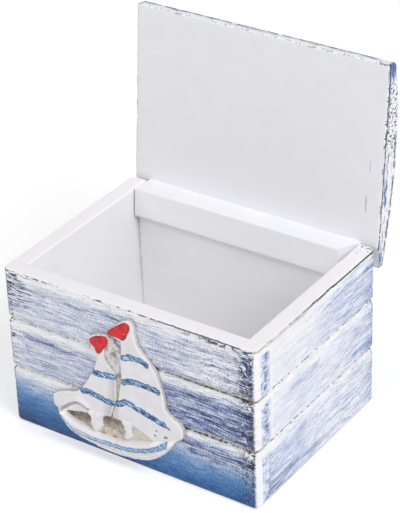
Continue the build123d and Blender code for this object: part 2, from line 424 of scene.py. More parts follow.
def front_level(work, to_right):
    """How heavy the strokes are: bare at the grooves, with a few long lines, and torn at the right."""
    x, z, drop = work.along, work.up, work.drop
    lower = z.ramp(50.0, 44.0)
    lines = drop.band(6.3, 0.4, 0.8) * 0.16 + drop.band(11.0, 0.4, 0.9) * 0.06
    lines = lines + drop.band(14.6, 0.8, 1.3) * 0.1 + drop.band(20.0, 0.8, 1.3) * 0.08
    level = drop.ramp(1.6, 5.0) * (0.2 + lower * (0.07 + to_right * 0.13)) + 0.08
    level = level + to_right * lower * 0.05 + lines - x.ramp(-45.5, -50.5) * lower * 0.12
    chips = x.ramp(45.0, 51.0) * (work.lumps * 0.9 + work.flecks * 0.5 - 0.5)
    chip_share = z.ramp(44.0, 48.0) * 0.5 + z.ramp(20.0, 26.0) * 0.36 + 0.14
    return level + chips * chip_share - torn_away(x, z) * 0.1


def corner_chips(work, colour):
    """The larger flakes on the top plank beside the right arris, and dark blobs under the rim."""
    x, z = work.along, work.up
    wobble = (work.lumps - 0.5) * 1.6
    hatching = (work.fine * 0.5 + work.hair * 0.5).ramp(0.38, 0.5)
    hatched = (x + wobble).ramp(48.0, 49.2) * z.band(51.0, 3.2, 0.8) * hatching
    flake = (x + wobble).band(51.9, 1.2, 0.4) * (z + wobble).band(59.8, 1.9, 0.5)
    across = x * 0.784 + z * 0.62 + wobble * 0.4
    reach = (x * 0.62 - z * 0.784).band(-14.7, 2.8, 0.5)
    under_rim = z.band(66.5, 0.6, 0.5) * x.ramp(16.0, 36.0)
    blobs = (work.lumps * 0.6 + work.flecks * 0.5).ramp(0.56, 0.64) * under_rim
    return work.finish.layers(
        colour,
        ((56, 62, 104), hatched * 0.85),
        ((86, 108, 160), flake * (work.crumbs * 0.3 + 0.7)),
        (ink, across.band(75.3, 0.1, 0.2) * reach * 0.85),
        ((238, 238, 246), across.band(75.9, 0.16, 0.2) * reach),
        ((46, 50, 84), blobs * 0.9),
    )


def torn_away(x, z):
    """Where the paint of the top plank is torn, beside the right arris."""
    return x.band(41.0, 5.0, 8.0) * z.band(57.0, 5.0, 5.0)


def foot_coat(work, colour):
    """A deep blue gradient that fades out upwards, higher at the left than at the right."""
    x, z = work.along, work.up
    sway = work.broad * 4.0 + work.fine * 3.0 + work.patches * 4.0 + work.cross * 2.0 - 6.5
    foot = z + sway + x.ramp(-48.0, 10.0) * 3.0 - x.ramp(-36.0, -50.0) * 2.0
    scratches = work.finish.noise(x / 7.0, z / 0.22, 57.0).ramp(0.74, 0.86)
    scratches = scratches * work.patches.ramp(0.4, 0.7)
    depth = foot * -0.048 + work.grain * 1.1 - scratches * 0.22 + work.cross * 0.08 + 0.96
    tones = work.finish.tones(depth, foot_tones)
    return work.finish.blend(colour, tones, foot.ramp(23.0, 16.5) * 0.96)


def torn_edges(work, colour):
    """Bare greyish lips of torn paint over the grooves, at the right."""
    x, z = work.along, work.up
    for groove in grooves:
        lip = z.band(groove + 1.2, 0.5, 1.3) * x.ramp(8.0, 34.0)
        bare = (work.flecks * 0.6 + work.crumbs * 0.3 + lip * 0.3).ramp(0.6, 0.68) * lip
        colour = work.finish.blend(colour, bare_grey, bare * 0.8)
    return colour


def front_chips(work):
    """The black outlines of torn paint beside the right arris, and short dashes at the left one."""
    x, z = work.along, work.up
    lumps, crumbs, flecks = work.lumps, work.crumbs, work.flecks
    zone = x.ramp(44.0, 51.0) * x.ramp(54.2, 53.4)
    lines = (lumps * 0.5 + crumbs * 0.5).band(0.5, 0.02, 0.035)
    black = (lines + work.specks(0.66, 0.74)) * zone
    scallops = (lumps * 1.4 + crumbs * 0.5 + x - 54.0).band(0.0, 0.1, 0.3)
    scallops = scallops * z.ramp(66.5, 65.0) * (flecks * 0.8 + 0.2)
    torn = (flecks * 0.7 + work.dust * 0.35).ramp(0.7, 0.8) * torn_away(x, z).ramp(0.1, 0.6)
    black = black.most(scallops, torn * 0.8)
    for groove in grooves:
        lip = z.band(groove + 1.0, 0.8, 1.2) * x.ramp(10.0, 36.0)
        black = black.most((flecks * 0.6 + crumbs * 0.45).ramp(0.68, 0.76) * lip * 0.9)
    high = x.ramp(-33.0, -50.0) * z.ramp(48.0, 56.0)
    high_dashes = (flecks * 0.62 + work.fine * 0.42 + high * 0.4 - 0.2).ramp(0.75, 0.81) * high
    low = x.ramp(-48.0, -53.0) * z.ramp(22.0, 26.0)
    low_dashes = (flecks * 0.8 + low * 0.1).ramp(0.64, 0.72) * low
    foot = z.ramp(1.0, 0.3) * 0.8
    return black.most(high_dashes, low_dashes, work.specks(0.88, 0.95) * 0.5, foot).least(0.92)


def rim_line(work):
    """The broken dark line along the top edge, growing to the right."""
    x, z, top = work.along, work.up, body_height
    rim = z.ramp(top - 1.0, top - 0.6) * z.ramp(top - 0.02, top - 0.2)
    near_left = x.ramp(-30.0, -36.0) * x.ramp(-50.0, -44.0)
    gain = x.ramp(-20.0, 30.0) * 0.26 + near_left * 0.2 - x.ramp(50.0, 53.0)
    return (work.patches * 0.35 + work.flecks * 0.6 + gain).ramp(0.54, 0.66) * rim * 0.92


def end_block(work):
    """Short blue strokes on the end grain of the front board, kept off its edges."""
    finish = work.finish
    y, z = finish.y, finish.z
    strokes = finish.noise(y / 3.6, z / 0.6, 81.0)
    dabs = finish.noise(y / 2.4, z / 3.0, 87.0, 2.0, 0.6)
    ragged = y + (strokes - 0.5) * 2.4 + (dabs - 0.5) * 1.6
    lowest = z.ramp(26.0, 22.0)
    field = y.ramp(-38.3, -37.5) * ragged.ramp(-31.0, -32.8).most(lowest)
    field = field * work.drop.ramp(1.8, 3.8) * work.rise.ramp(0.6, 2.2)
    marks = (strokes + dabs * 0.8) * (0.8 - lowest * 0.3)
    level = marks + work.grain * (lowest * 0.6 + 0.4) - 0.3 + lowest * 0.2
    return finish.tones(level * field, side_tones)


def side_paint(name, seed, outward):
    """White boards with pale blue strokes, heavier to the rear. It serves the right and the left wall."""
    finish = Finish(name)
    x, y, z = finish.x, finish.y, finish.z
    work = Brushwork(finish, y * outward, z, seed)
    low_plank = z.ramp(27.0, 22.0)
    level = side_level(work, y, z.ramp(44.0, 48.0), low_plank)
    colour = work.coat(level, y.ramp(-20.0, 30.0) * 0.7 + low_plank * 0.5 + 0.9, side_tones)
    colour = finish.blend(colour, end_block(work), y.ramp(-30.9, -31.1))
    colour = side_foot(work, y, z, colour)
    colour = work.groove_tones(colour, 0.35, 0.16)
    colour = finish.blend(colour, ink, side_marks(work, y, z))
    colour = finish.blend(back_coat(finish), colour, finish.attribute("facing").ramp(0.25, 0.6))
    tan_line = z.band(body_height - 0.8, 0.7, 0.7) * y.ramp(0.0, -12.0)
    colour = finish.blend(colour, tan, tan_line * (work.flecks * 0.5 + work.patches * 0.4 + 0.1))
    corner = y.ramp(32.0, 36.0) * z.ramp(body_height - 0.4, body_height - 0.1) * x.ramp(49.0, 51.0)
    chips = finish.noise(x / 1.6, y / 1.2, 97.0, 2.0).ramp(0.7, 0.78)
    return work.complete(colour, chips * corner)


def side_level(work, y, top_plank, low_plank):
    """How heavy the strokes are on each plank of a side, with a few long ones."""
    drop = work.drop
    top = y.ramp(-18.0, 24.0) * 0.2 + 0.1 - drop.ramp(11.0, 7.5) * 0.08
    top = top + drop.band(6.4, 0.5, 0.8) * y.ramp(0.0, 12.0) * 0.22
    middle = y.ramp(2.0, 34.0) * 0.16 + y.band(-8.0, 6.0, 16.0) * 0.06 + 0.1
    middle = middle + drop.band(5.6, 0.7, 1.0) * y.band(-9.0, 8.0, 3.0) * 0.16
    middle = middle + drop.band(17.4, 0.8, 1.2) * y.ramp(14.0, 28.0) * 0.2
    low = y.ramp(-2.0, 34.0) * 0.08 + y.ramp(6.0, -14.0) * 0.16 + 0.14
    level = top_plank * top + (1.0 - top_plank - low_plank) * middle + low_plank * low
    level = level + y.ramp(31.0, 38.0) * 0.12 + 0.03
    open_field = drop.ramp(1.2, 5.0) * work.rise.ramp(0.0, 1.5) * 0.8 + 0.2
    return level * open_field * y.ramp(-31.4, -29.0).most(low_plank)


def side_foot(work, y, z, colour):
    """Darker strokes low on the front half of a side, over a bare strip at its foot."""
    foot = z + (work.broad - 0.5) * 2.0
    streak = (foot + y * 0.05).band(5.6, 0.5, 0.9) * y.ramp(16.0, -6.0) * (work.fine * 0.5 + 0.5)
    front_end = foot.ramp(12.0, 5.0) * y.ramp(-12.0, -28.0)
    front_end = front_end * (work.fine * 0.6 + work.broad * 0.6).ramp(0.4, 0.7)
    bare = (z + (work.fine - 0.5) * 0.8).ramp(3.2, 2.2) * y.ramp(34.0, 24.0)
    strokes = streak.most(front_end) * 0.8
    return work.finish.layers(colour, ((88, 112, 168), strokes), ((236, 232, 238), bare * 0.75))


def side_marks(work, y, z):
    """Chips at the rim and the rear arris, and a few specks."""
    crumbs, flecks, top = work.crumbs, work.flecks, body_height
    rim = z.ramp(top - 1.2, top - 0.9) * z.ramp(top - 0.04, top - 0.16)
    gain = y.ramp(-14.0, 4.0) * 0.34 + y.ramp(20.0, 40.0) * 0.2
    rim_marks = (work.patches * 0.3 + flecks * 0.5 + gain).ramp(0.5, 0.62) * rim
    corner = y.ramp(32.0, 39.0) * z.ramp(top - 6.0, top - 1.0)
    corner_marks = (crumbs * 0.6 + flecks * 0.3 + corner * 0.3).ramp(0.78, 0.84) * corner
    rear = y.ramp(36.5, 40.2)
    rear_marks = (crumbs * 0.55 + flecks * 0.5 + rear * 0.24).ramp(0.78, 0.86) * rear
    return rim_marks.most(corner_marks, rear_marks, work.specks(0.88, 0.95) * 0.5).least(0.94)


def back_paint():
    finish = Finish("back_paint")
    return Brushwork(finish, finish.x, finish.z, 71.0).complete(back_coat(finish))


def back_coat(finish):
    """The back is finished like the front, a little plainer, across the ends of the side boards too."""
    work = Brushwork(finish, finish.x * -1.0, finish.z, 71.0)
    drop = work.drop
    lines = drop.band(6.3, 0.4, 0.8) * 0.14 + drop.band(14.6, 0.8, 1.3) * 0.1
    colour = work.coat(drop.ramp(1.6, 5.0) * 0.28 + lines + 0.08, 1.2, front_tones)
    colour = work.groove_tones(foot_coat(work, colour), 0.7, 0.12)
    marks = (work.flecks * 0.6 + work.crumbs * 0.5).ramp(0.9, 0.96) * 0.6
    joint = abs(finish.x).band(inner_half_width, 0.02, 0.14) * (work.flecks * 0.6 + 0.1)
    return finish.blend(colour, ink, marks.most(joint))


def lid_paint():
    """Satin white inside, brushed blue on the dome, and dark distressed edges."""
    finish = Finish("lid_paint")
    x = finish.x
    along = finish.attribute("lid_along")
    dome = finish.attribute("dome")
    skin = finish.attribute("skin")
    work = Brushwork(finish, x, along + 200.0, 91.0)
    colour = work.coat((work.patches - 0.5) * 0.2 + 0.3, 1.2, side_tones)
    worn = (work.flecks * 0.6 + work.crumbs * 0.5).ramp(0.94, 1.0) * 0.6 * dome
    colour = finish.layers(colour, (lid_edge_paint(finish, x, along), 1.0 - dome), (ink, worn))
    scratch = x.band(48.7, 0.06, 0.22) * along.band(-22.5, 2.4, 1.2)
    scratch = scratch.most(x.band(49.5, 0.04, 0.2) * along.band(-37.8, 1.4, 1.0) * 0.8)
    scratch = scratch * (work.crumbs * 0.6 + 0.4)
    dust = ((238, 238, 242), finish.clouds(9.0))
    plain = finish.layers(lid_white, dust, ((96, 98, 122), scratch))
    relief = (work.fine + work.broad * 0.5 + work.crumbs * 0.4) * (skin * 0.85 + 0.15)
    roughness = 0.46 + work.fine * 0.14 + skin * 0.14
    return finish.complete(finish.blend(plain, colour, skin), roughness, relief, 0.14)


class EdgeMarks:
    """Marks along the edges of the lid, up its sides and across its front and rear."""

    def __init__(self, finish, x, along):
        self.x = x
        self.along = along
        self.thick = finish.attribute("lid_thick")
        self.to_dome = finish.attribute("to_dome")
        self.on_side = abs(x).ramp(53.2, 54.4)
        run = along * self.on_side + x * (1.0 - self.on_side)
        self.blots = finish.noise(run / 7.0, self.thick / 1.4, 5.0, 2.0, 0.6)
        self.flecks = finish.noise(run / 1.3, self.thick / 0.5, 9.0, 2.0, 0.6)
        self.breaks = finish.noise(run / 4.0, self.thick / 4.0, 15.0, 3.0, 0.7)
        self.thin = finish.noise(run / 5.0, self.thick / 0.4, 25.0)
        self.spots = finish.noise(run / 0.9, self.thick / 1.5, 35.0)
        self.wave = self.thick + (self.spots - 0.5) * 0.7


def lid_edge_paint(finish, x, along):
    """White edges with blue rubbed in, thin dark lines beside the arrises and black flecks."""
    edge = EdgeMarks(finish, x, along)
    off_side = 1.0 - edge.on_side
    dark = edge_side_lines(edge) * edge.on_side + edge_front_lines(edge) * off_side
    colour = finish.tones(edge_blue(edge, off_side) * 0.9, side_tones)
    return finish.blend(colour, ink, dark.least(0.9))


def edge_blue(edge, off_side):
    """Blue rubbed into the edges, more at the top corner, half way down and at the low end."""
    along, thick = edge.along, edge.thick
    corner = along.ramp(-70.5, -75.5) * thick.band(2.4, 1.4, 1.2)
    patch = along.band(-28.0, 4.0, 3.0) * thick.band(2.6, 0.7, 0.8)
    blue = (corner * 0.5 + patch * 0.36 + along.ramp(-6.0, 0.0) * 0.24) * edge.on_side
    rubbed = (edge.blots * 0.5 + edge.thin * 0.35 + edge.flecks * 0.25 + blue).ramp(0.5, 1.05)
    rubbed = rubbed * thick.ramp(1.2, 2.4).most(edge.on_side)
    return rubbed.most(thick.band(2.9, 0.5, 0.8) * edge.blots.ramp(0.3, 0.7) * off_side * 0.45)


def edge_side_lines(edge):
    """Lines on the sides: bold and broken above, two thin ones below, flakes and left dashes."""
    x, along, thick, flecks, breaks = edge.x, edge.along, edge.thick, edge.flecks, edge.breaks
    upper = along.ramp(-36.0, -48.0) * along.ramp(-74.0, -70.0)
    bold = along.ramp(-44.0, -52.0) * along.ramp(-74.5, -71.0)
    inner = thick.band(0.75, 0.2, 0.25).most(edge.wave.band(0.9, 0.3, 0.3) * bold * 0.85)
    second = thick.band(3.2, 0.1, 0.3) * breaks.ramp(0.42, 0.58) * along.ramp(-50.0, -42.0)
    outer = edge.to_dome.band(1.9, 0.35, 0.3) * breaks.ramp(0.36, 0.52) * along.ramp(-52.0, -44.0)
    flaked = (flecks * 0.7 + edge.blots * 0.2 + along.ramp(-6.0, 0.0) * 0.1).ramp(0.72, 0.8)
    flaked = flaked.most((edge.spots * 0.8 + flecks * 0.2).ramp(0.62, 0.68) * upper)
    dashes = x.ramp(-54.3, -54.6) * thick.ramp(0.9, 0.6) * (breaks * 0.6 + flecks * 0.5).ramp(0.5, 0.62)
    return (inner * breaks.ramp(0.2, 0.36)).most(second * 0.7, outer * 0.9, flaked * 0.9, dashes)


def edge_front_lines(edge):
    """Streaks and dots across the front and rear, with one long dash near the right corner."""
    x, thick, blots = edge.x, edge.thick, edge.blots
    streaks = (edge.breaks * 0.7 + edge.thin * 0.3).ramp(0.3, 0.44) * thick.band(3.7, 0.45, 0.3)
    streaks = streaks * x.ramp(50.0, 46.0) * 0.7
    dots = thick.band(0.5, 0.15, 0.3) * (edge.spots * 0.8 + blots * 0.2).ramp(0.56, 0.66) * 0.45
    dash = x.band(51.9, 1.6, 0.4) * edge.wave.band(0.4, 0.15, 0.2) * 0.95
    return streaks.most(dots, dash, (edge.thin * 0.6 + blots * 0.4).ramp(0.72, 0.8) * 0.55)


def rail_paint():
    """Plain satin white with faint brush marks."""
    finish = Finish("rail_paint")
    strokes = finish.noise(finish.x / 30.0, finish.y / 1.5, finish.z, 3.0, 0.6)
    dust = (white, finish.clouds(8.0))
    colour = finish.layers(inside_white, dust, (pale_periwinkle, (strokes - 0.75) * 0.6))
    return finish.complete(colour, strokes * 0.15 + 0.45, strokes, 0.05)


def bottom_paint():
    """The bottom board, white inside the chest and bare birch underneath."""
    finish = Finish("bottom_paint")
    x, y, z = finish.x, finish.y, finish.z
    grain = finish.noise(x / 40.0, y / 1.2, z / 3.0, 4.0, 0.6)
    pores = finish.noise(x / 6.0, y / 0.4, z, 2.0, 0.6)
    colour = finish.layers(
        (216, 196, 164),
        ((190, 164, 128), grain),
        ((160, 132, 98), pores.ramp(0.7, 0.95) * 0.4),
        (inside_white, z.ramp(2.0, 4.0)),
    )
    return finish.complete(colour, grain * 0.2 + 0.5, grain + pores * 0.5, 0.08)


def wire_finish():
    """Drawn steel wire, with fine turned scratches."""
    finish = Finish("wire_finish")
    scratches = finish.clouds(0.15)
    colour = finish.blend((176, 178, 182), (128, 130, 136), scratches)
    finish.shader.inputs["Metallic"].default_value = 1.0
    return finish.complete(colour, scratches * 0.2 + 0.3, scratches, 0.02, 0.5)


# Meshes


def scatter(points, cell, seed):
    """Smooth noise from 0 to 1 at each point, with lumps of about one cell."""
    places = points / cell
    low = np.floor(places).astype(np.int64)
    part = places - low
    part = part * part * (3 - 2 * part)
    total = np.zeros(len(points))
    for corner in range(8):
        step = np.array([corner & 1, corner >> 1 & 1, corner >> 2 & 1])
        across, along, up = (low + step).T
        mixed = (across * 73856093) ^ (along * 19349663) ^ (up * 83492791) ^ (seed * 2654435)
        mixed = (mixed * 1103515245 + 12345) & 0x7FFFFFFF
        mixed = ((mixed >> 7) ^ mixed) * 48271 & 0x7FFFFFFF
        share = np.prod(np.where(step, part, 1 - part), axis=1)
        total += share * (mixed % 10007) / 10007
    return total


def two_scatters(points, large, small, seed):
    """Lumps of two sizes together."""
    return scatter(points, large, seed) * 0.6 + scatter(points, small, seed + 1) * 0.4


def smooth(values, start, end):
    """0 at start and beyond, 1 at end and beyond, smooth between."""
    share = np.clip((values - start) / (end - start), 0, 1)
    return share * share * (3 - 2 * share)


def steps(*runs):
    """Places along one direction: each run is (start, end, pitch)."""
    places = []
    for start, end, pitch in runs:
        count = max(1, round((end - start) / pitch))
        places.extend(start + (end - start) * step / count for step in range(count))
    places.append(runs[-1][1])
    return places


def box_grid(xs, ys, zs):
    """Corners and faces of a closed box whose six sides are divided at the given places."""
    places = (xs, ys, zs)
    numbers = {}
    faces = []
    for axis in (2, 0, 1):
        first, second = [other for other in range(3) if other != axis]
        turns = [((0, 0), (0, 1), (1, 1), (1, 0)), ((0, 0), (1, 0), (1, 1), (0, 1))]
        if axis == 1:
            turns.reverse()
        for i in range(len(places[first]) - 1):
            for j in range(len(places[second]) - 1):
                for level, turn in zip((0, len(places[axis]) - 1), turns):
                    face = []
                    for step_i, step_j in turn:
                        corner = [level] * 3
                        corner[first] = i + step_i
                        corner[second] = j + step_j
                        face.append(numbers.setdefault(tuple(corner), len(numbers)))
                    faces.append(face)
    points = np.array([(xs[i], ys[j], zs[k]) for i, j, k in numbers])
    return points, faces


def make_piece(name, points, faces, material, attributes):
    """A mesh object from points in millimetres, with a number for each point in each attribute."""
    mesh = bpy.data.meshes.new(name)
    mesh.from_pydata((points * MM).tolist(), [], faces)
    for key, values in attributes.items():
        mesh.attributes.new(key, "FLOAT", "POINT").data.foreach_set("value", values.astype(np.float32))
    mesh.polygons.foreach_set("use_smooth", [True] * len(mesh.polygons))
    mesh.materials.append(material)
    mesh.update()
    piece = bpy.data.objects.new(name, mesh)
    bpy.context.scene.collection.objects.link(piece)
    return piece


def sharpen(piece, angle):
    """Keeps edges sharper than an angle crisp in the smooth shading."""
    piece.data.set_sharp_from_angle(angle=radians(angle))


# The four walls: one shape, cut at the joints of the boards


def rounded(first, second, radius):
    """Moves two distances from a pair of meeting faces so that their edge is round."""
    a = 1 - np.clip(first / radius, 0, 1)
    b = 1 - np.clip(second / radius, 0, 1)
    inside = (first < radius) & (second < radius)
    largest = np.maximum(a, b)
    length = np.maximum(np.hypot(a, b), tiny)
    new_first = np.where(inside, radius * (1 - largest * a / length), first)
    new_second = np.where(inside, radius * (1 - largest * b / length), second)
    return new_first, new_second


def shape_body(points):
    """Turns points of a plain block into the worn, grooved and rounded body, and finds its skin."""
    x, y, z = points.T
    side_x, side_y = np.where(x < 0, -1.0, 1.0), np.where(y < 0, -1.0, 1.0)
    from_x, from_y = half_width - np.abs(x), half_depth - np.abs(y)

    round_x, round_y = rounded(from_x, from_y, corner_radius)
    corner = (from_x < corner_radius) & (from_y < corner_radius)
    arm_x, arm_y = corner_radius - round_x, corner_radius - round_y
    reach = np.hypot(arm_x, arm_y)
    depth = np.where(corner, corner_radius - reach, np.minimum(from_x, from_y))
    away_x = np.where(corner, arm_x / np.maximum(reach, tiny), (from_x <= from_y) * 1.0)
    away_y = np.where(corner, arm_y / np.maximum(reach, tiny), (from_x > from_y) * 1.0)

    outside = smooth(depth, 0.25, 0.0)
    inward, up = rounded(depth, z, foot_radius)
    inward, from_top = rounded(inward, body_height - up, rim_radius)
    up = body_height - from_top
    moved = inward - depth

    cavity_x, cavity_y = np.abs(x) - inner_half_width, np.abs(y) - inner_half_depth
    back_part = y > inner_half_depth - touching
    from_cavity = np.where(back_part, cavity_x, np.maximum(cavity_x, cavity_y))
    retreat, from_top = rounded(np.maximum(from_cavity, 0), body_height - up, rim_radius)
    near_cavity = (from_cavity < rim_radius) & (from_cavity > -touching) & (depth > rim_radius)
    retreat = np.where(near_cavity, retreat - np.maximum(from_cavity, 0), 0)
    up = np.where(near_cavity, body_height - from_top, up)
    along_x = (cavity_x >= cavity_y) | back_part

    moved = moved + groove_cut(points) * np.clip(1 - depth / 3, 0, 1)
    moved = moved + wear(points, from_x, from_y) * outside
    new_x = half_width - round_x - away_x * moved + np.where(along_x, retreat, 0)
    new_y = half_depth - round_y - away_y * moved + np.where(along_x, 0, retreat)
    shaped = np.column_stack((new_x * side_x, new_y * side_y, up))
    skin = outside * smooth(z, body_height - 0.02, body_height - 0.35) * smooth(z, 0.0, 0.1)
    return shaped, skin, away_x


def groove_cut(points):
    """Depth of the V grooves, with slightly uneven lips."""
    z = points[:, 2]
    uneven = (scatter(points * (0.45, 0.45, 1.0), 1.6, 5) - 0.5) * 0.5
    uneven += (scatter(points, 0.9, 6) - 0.5) * 0.22
    rounding = 0.25
    cut = np.zeros(len(points))
    for groove in grooves:
        away = np.abs(z - groove)
        reach = groove_depth - away + uneven * smooth(away, 0.2, 1.0)
        cut = np.maximum(cut, (reach + np.sqrt(reach * reach + rounding * rounding)) / 2 - rounding * 0.1)
    far = np.min([np.abs(z - groove) for groove in grooves], axis=0)
    return np.clip(cut, 0, groove_depth) * smooth(far, groove_reach, groove_reach - 1.0)


def wear(points, from_x, from_y):
    """Small losses at the arrises and shallow brush waves, always into the wood."""
    z = points[:, 2]
    arris = smooth(np.maximum(from_x, from_y), 4.0, 0.8)
    arris = np.maximum(arris, smooth(body_height - z, 2.2, 0.3))
    for groove in grooves:
        away = np.abs(z - groove)
        arris = np.maximum(arris, 0.8 * smooth(away, 3.2, 1.7) * smooth(away, 0.9, 1.3))
    chips = smooth(two_scatters(points, 2.3, 1.1, 11), 0.56, 0.78) * arris * 0.42
    waves = scatter(points * (0.25, 0.25, 1.0), 1.4, 21) * 0.05
    return chips + waves


def heights(top):
    """Places up a wall, closer together at the grooves, the foot and the rim."""
    runs = [(0.0, foot_radius, 0.45)]
    start = foot_radius
    for groove in grooves:
        runs.append((start, groove - groove_reach, wall_pitch))
        runs.append((groove - groove_reach, groove + groove_reach, groove_pitch))
        start = groove + groove_reach
    if top < body_height:
        runs.append((start, top, wall_pitch))
    else:
        runs.append((start, top - 1.6, wall_pitch))
        runs.append((top - 1.6, top, arris_pitch))
    return steps(*runs)


def make_wall(name, xs, ys, top, material):
    points, faces = box_grid(xs, ys, heights(top))
    shaped, skin, facing = shape_body(points)
    if top < body_height:
        skin = skin * smooth(points[:, 2], top - 0.02, top - 0.3)
    piece = make_piece(f"painted_{name}", shaped, faces, material, {"skin": skin, "facing": facing})
    sharpen(piece, 42.0)
    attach(piece, "box")
    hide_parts(name)


def make_walls():
    corner = corner_radius
    inner = board - 0.8
    near_skin = (0.0, 0.8, arris_pitch), (0.8, corner, corner_pitch)
    thick = steps(*near_skin, (corner, inner, wall_pitch), (inner, board, arris_pitch))
    end = half_width - corner
    across = (-half_width, -end, corner_pitch), (-end, end, face_pitch), (end, half_width, corner_pitch)
    front_y = [place - half_depth for place in thick]
    make_wall("front_wall", steps(*across), front_y, body_height, front_paint())
    joint, rear = -inner_half_depth, half_depth - corner
    along = (joint, joint + 1.2, arris_pitch), (joint + 1.2, rear, face_pitch)
    side_y = steps(*along, (rear, half_depth, corner_pitch))
    right_x = [half_width - place for place in reversed(thick)]
    left_x = [-place for place in reversed(right_x)]
    make_wall("right_wall", right_x, side_y, body_height, side_paint("right_paint", 23.0, 1.0))
    make_wall("left_wall", left_x, side_y, body_height, side_paint("left_paint", 47.0, -1.0))
    back_x = steps((-inner_half_width, inner_half_width, 0.9))
    back_y = [half_depth - place for place in reversed(thick)]
    make_wall("back_wall", back_x, back_y, back_height, back_paint())


def make_bottom():
    xs = steps((-inner_half_width, inner_half_width, bottom_pitch))
    ys = steps((-inner_half_depth, inner_half_depth, bottom_pitch))
    points, faces = box_grid(xs, ys, steps((0.0, 0.4, 0.4), (0.4, bottom_thickness, 3.2)))
    chamfer = 0.25 * (points[:, 2] < sliver)
    points[:, 0] -= np.sign(points[:, 0]) * chamfer * (np.abs(points[:, 0]) > inner_half_width - sliver)
    points[:, 1] -= np.sign(points[:, 1]) * chamfer * (np.abs(points[:, 1]) > inner_half_depth - sliver)
    piece = make_piece("painted_bottom_board", points, faces, bottom_paint(), {})
    sharpen(piece, 30.0)
    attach(piece, "box")
    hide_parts("bottom_board")


# The lid and its rail


def to_world(points):
    """Places a point of the lid's own frame in the open pose."""
    origin = np.array([0.0, pin_y, pin_z])
    return origin + points[:, :1] * (1, 0, 0) + points[:, 1:2] * to_rear + points[:, 2:] * to_top


def soften(points, low, high, radius):
    """Rounds all edges of a box of points between its two corners."""
    low, high = np.array(low), np.array(high)
    core = np.clip(points, low + radius, high - radius)
    out = (points - core) / radius
    largest = np.max(np.abs(out), axis=1)
    length = np.maximum(np.linalg.norm(out, axis=1), tiny)
    return core + out * (radius * largest / length)[:, None]


def dome_height(along):
    """How far the dome stands above the lid's edge thickness."""
    half = (lid_rear - lid_front) / 2
    rise = lid_crown - lid_edge
    radius = (half * half + rise * rise) / (2 * rise)
    middle = (lid_rear + lid_front) / 2
    return np.sqrt(np.maximum(radius**2 - (along - middle) ** 2, 0)) - (radius - rise)


def shape_lid(points):
    """Turns a plain slab into the domed lid, relieved below at its rear corners."""
    low = (-half_width, lid_front, 0.0)
    high = (half_width, lid_rear, lid_edge)
    x, along, thick = soften(points, low, high, lid_arris).T
    domed = np.clip((thick - lid_arris) / (lid_edge - 2 * lid_arris), 0, 1)
    thick = thick + domed * dome_height(along)
    relief = np.sqrt(np.maximum(relief_radius**2 - along**2, 0)) - lid_underside
    relief = np.where(np.abs(points[:, 0]) > relief_start, np.maximum(relief, 0), 0)
    kept = 0.6 * (lid_edge + dome_height(along))
    thick = np.where(thick < kept, relief + thick * (kept - relief) / kept, thick)
    return np.column_stack((x, along, lid_underside + thick))


def lid_places():
    """Where the grid of the lid is divided, finer at its arrises and at the relief."""
    arris, fine, cut = lid_arris, 0.3, relief_start
    edge, past_cut = half_width - arris, relief_start + sliver
    left = (-half_width, -edge, fine), (-edge, -past_cut, 1.1), (-past_cut, -cut, 1.0)
    right = (cut, past_cut, 1.0), (past_cut, edge, 1.1), (edge, half_width, fine)
    xs = steps(*left, (-cut, cut, 1.5), *right)
    front, rear = lid_front + arris, lid_rear - arris
    ys = steps((lid_front, front, fine), (front, -7.0, 1.3), (-7.0, rear, 0.45), (rear, lid_rear, fine))
    zs = steps((0.0, arris, fine), (arris, lid_edge - arris, 0.6), (lid_edge - arris, lid_edge, fine))
    return xs, ys, zs


def make_lid():
    points, faces = box_grid(*lid_places())
    local = shape_lid(points)
    x, along, height = local.T
    from_end = np.minimum(half_width - np.abs(x), np.minimum(along - lid_front, lid_rear - along))
    nominal_top = points[:, 2] > lid_edge - sliver
    inner_face = (points[:, 2] < sliver) & (from_end > 0.55)
    edge_wear = smooth(two_scatters(points, 2.1, 1.0, 31), 0.56, 0.78) * smooth(from_end, 2.0, 0.2) * 0.3
    waves = scatter(points * (0.2, 1.0, 1.0), 1.5, 33) * 0.05
    sideways = np.sign(x) * (np.abs(x) > half_width - lid_arris)
    outward = np.column_stack((sideways, np.zeros(len(x)), np.where(nominal_top, 1.0, 0.0)))
    local = local - outward * (edge_wear + waves)[:, None]
    values = {
        "lid_along": along,
        "lid_thick": height - lid_underside,
        "to_dome": lid_underside + lid_edge + dome_height(along) - height,
        "dome": np.where(nominal_top, smooth(from_end, 0.3, 2.4), 0),
        "skin": np.where(inner_face, 0.0, 1.0),
    }
    piece = make_piece("painted_lid", to_world(local), faces, lid_paint(), values)
    sharpen(piece, 40.0)
    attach(piece, "lid")
    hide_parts("lid")


def make_rail():
    half, near, fine = relief_start, rail_front + 0.6, 0.25
    rear, low, end = rail_rear - rail_radius, rail_low + rail_radius, half - 0.6
    xs = steps((-half, -end, arris_pitch), (-end, end, 2.0), (end, half, arris_pitch))
    ys = steps((rail_front, near, arris_pitch), (near, rear, 1.0), (rear, rail_rear, fine))
    zs = steps((rail_low, low, fine), (low, lid_underside, 1.0))
    points, faces = box_grid(xs, ys, zs)
    from_rear, from_low = rounded(rail_rear - points[:, 1], points[:, 2] - rail_low, rail_radius)
    from_front, from_low = rounded(points[:, 1] - rail_front, from_low, 0.5)
    along = np.where(points[:, 1] > 0, rail_rear - from_rear, rail_front + from_front)
    height = rail_low + from_low
    slant = rail_skew * (lid_underside - height) / (lid_underside - rail_low)
    x = points[:, 0] - np.clip(points[:, 0] / half, 0, 1) * slant
    shaped = to_world(np.column_stack((x, along, height)))
    piece = make_piece("painted_hinge_rail", shaped, faces, rail_paint(), {})
    sharpen(piece, 35.0)
    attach(piece, "lid")
    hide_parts("hinge_rail")


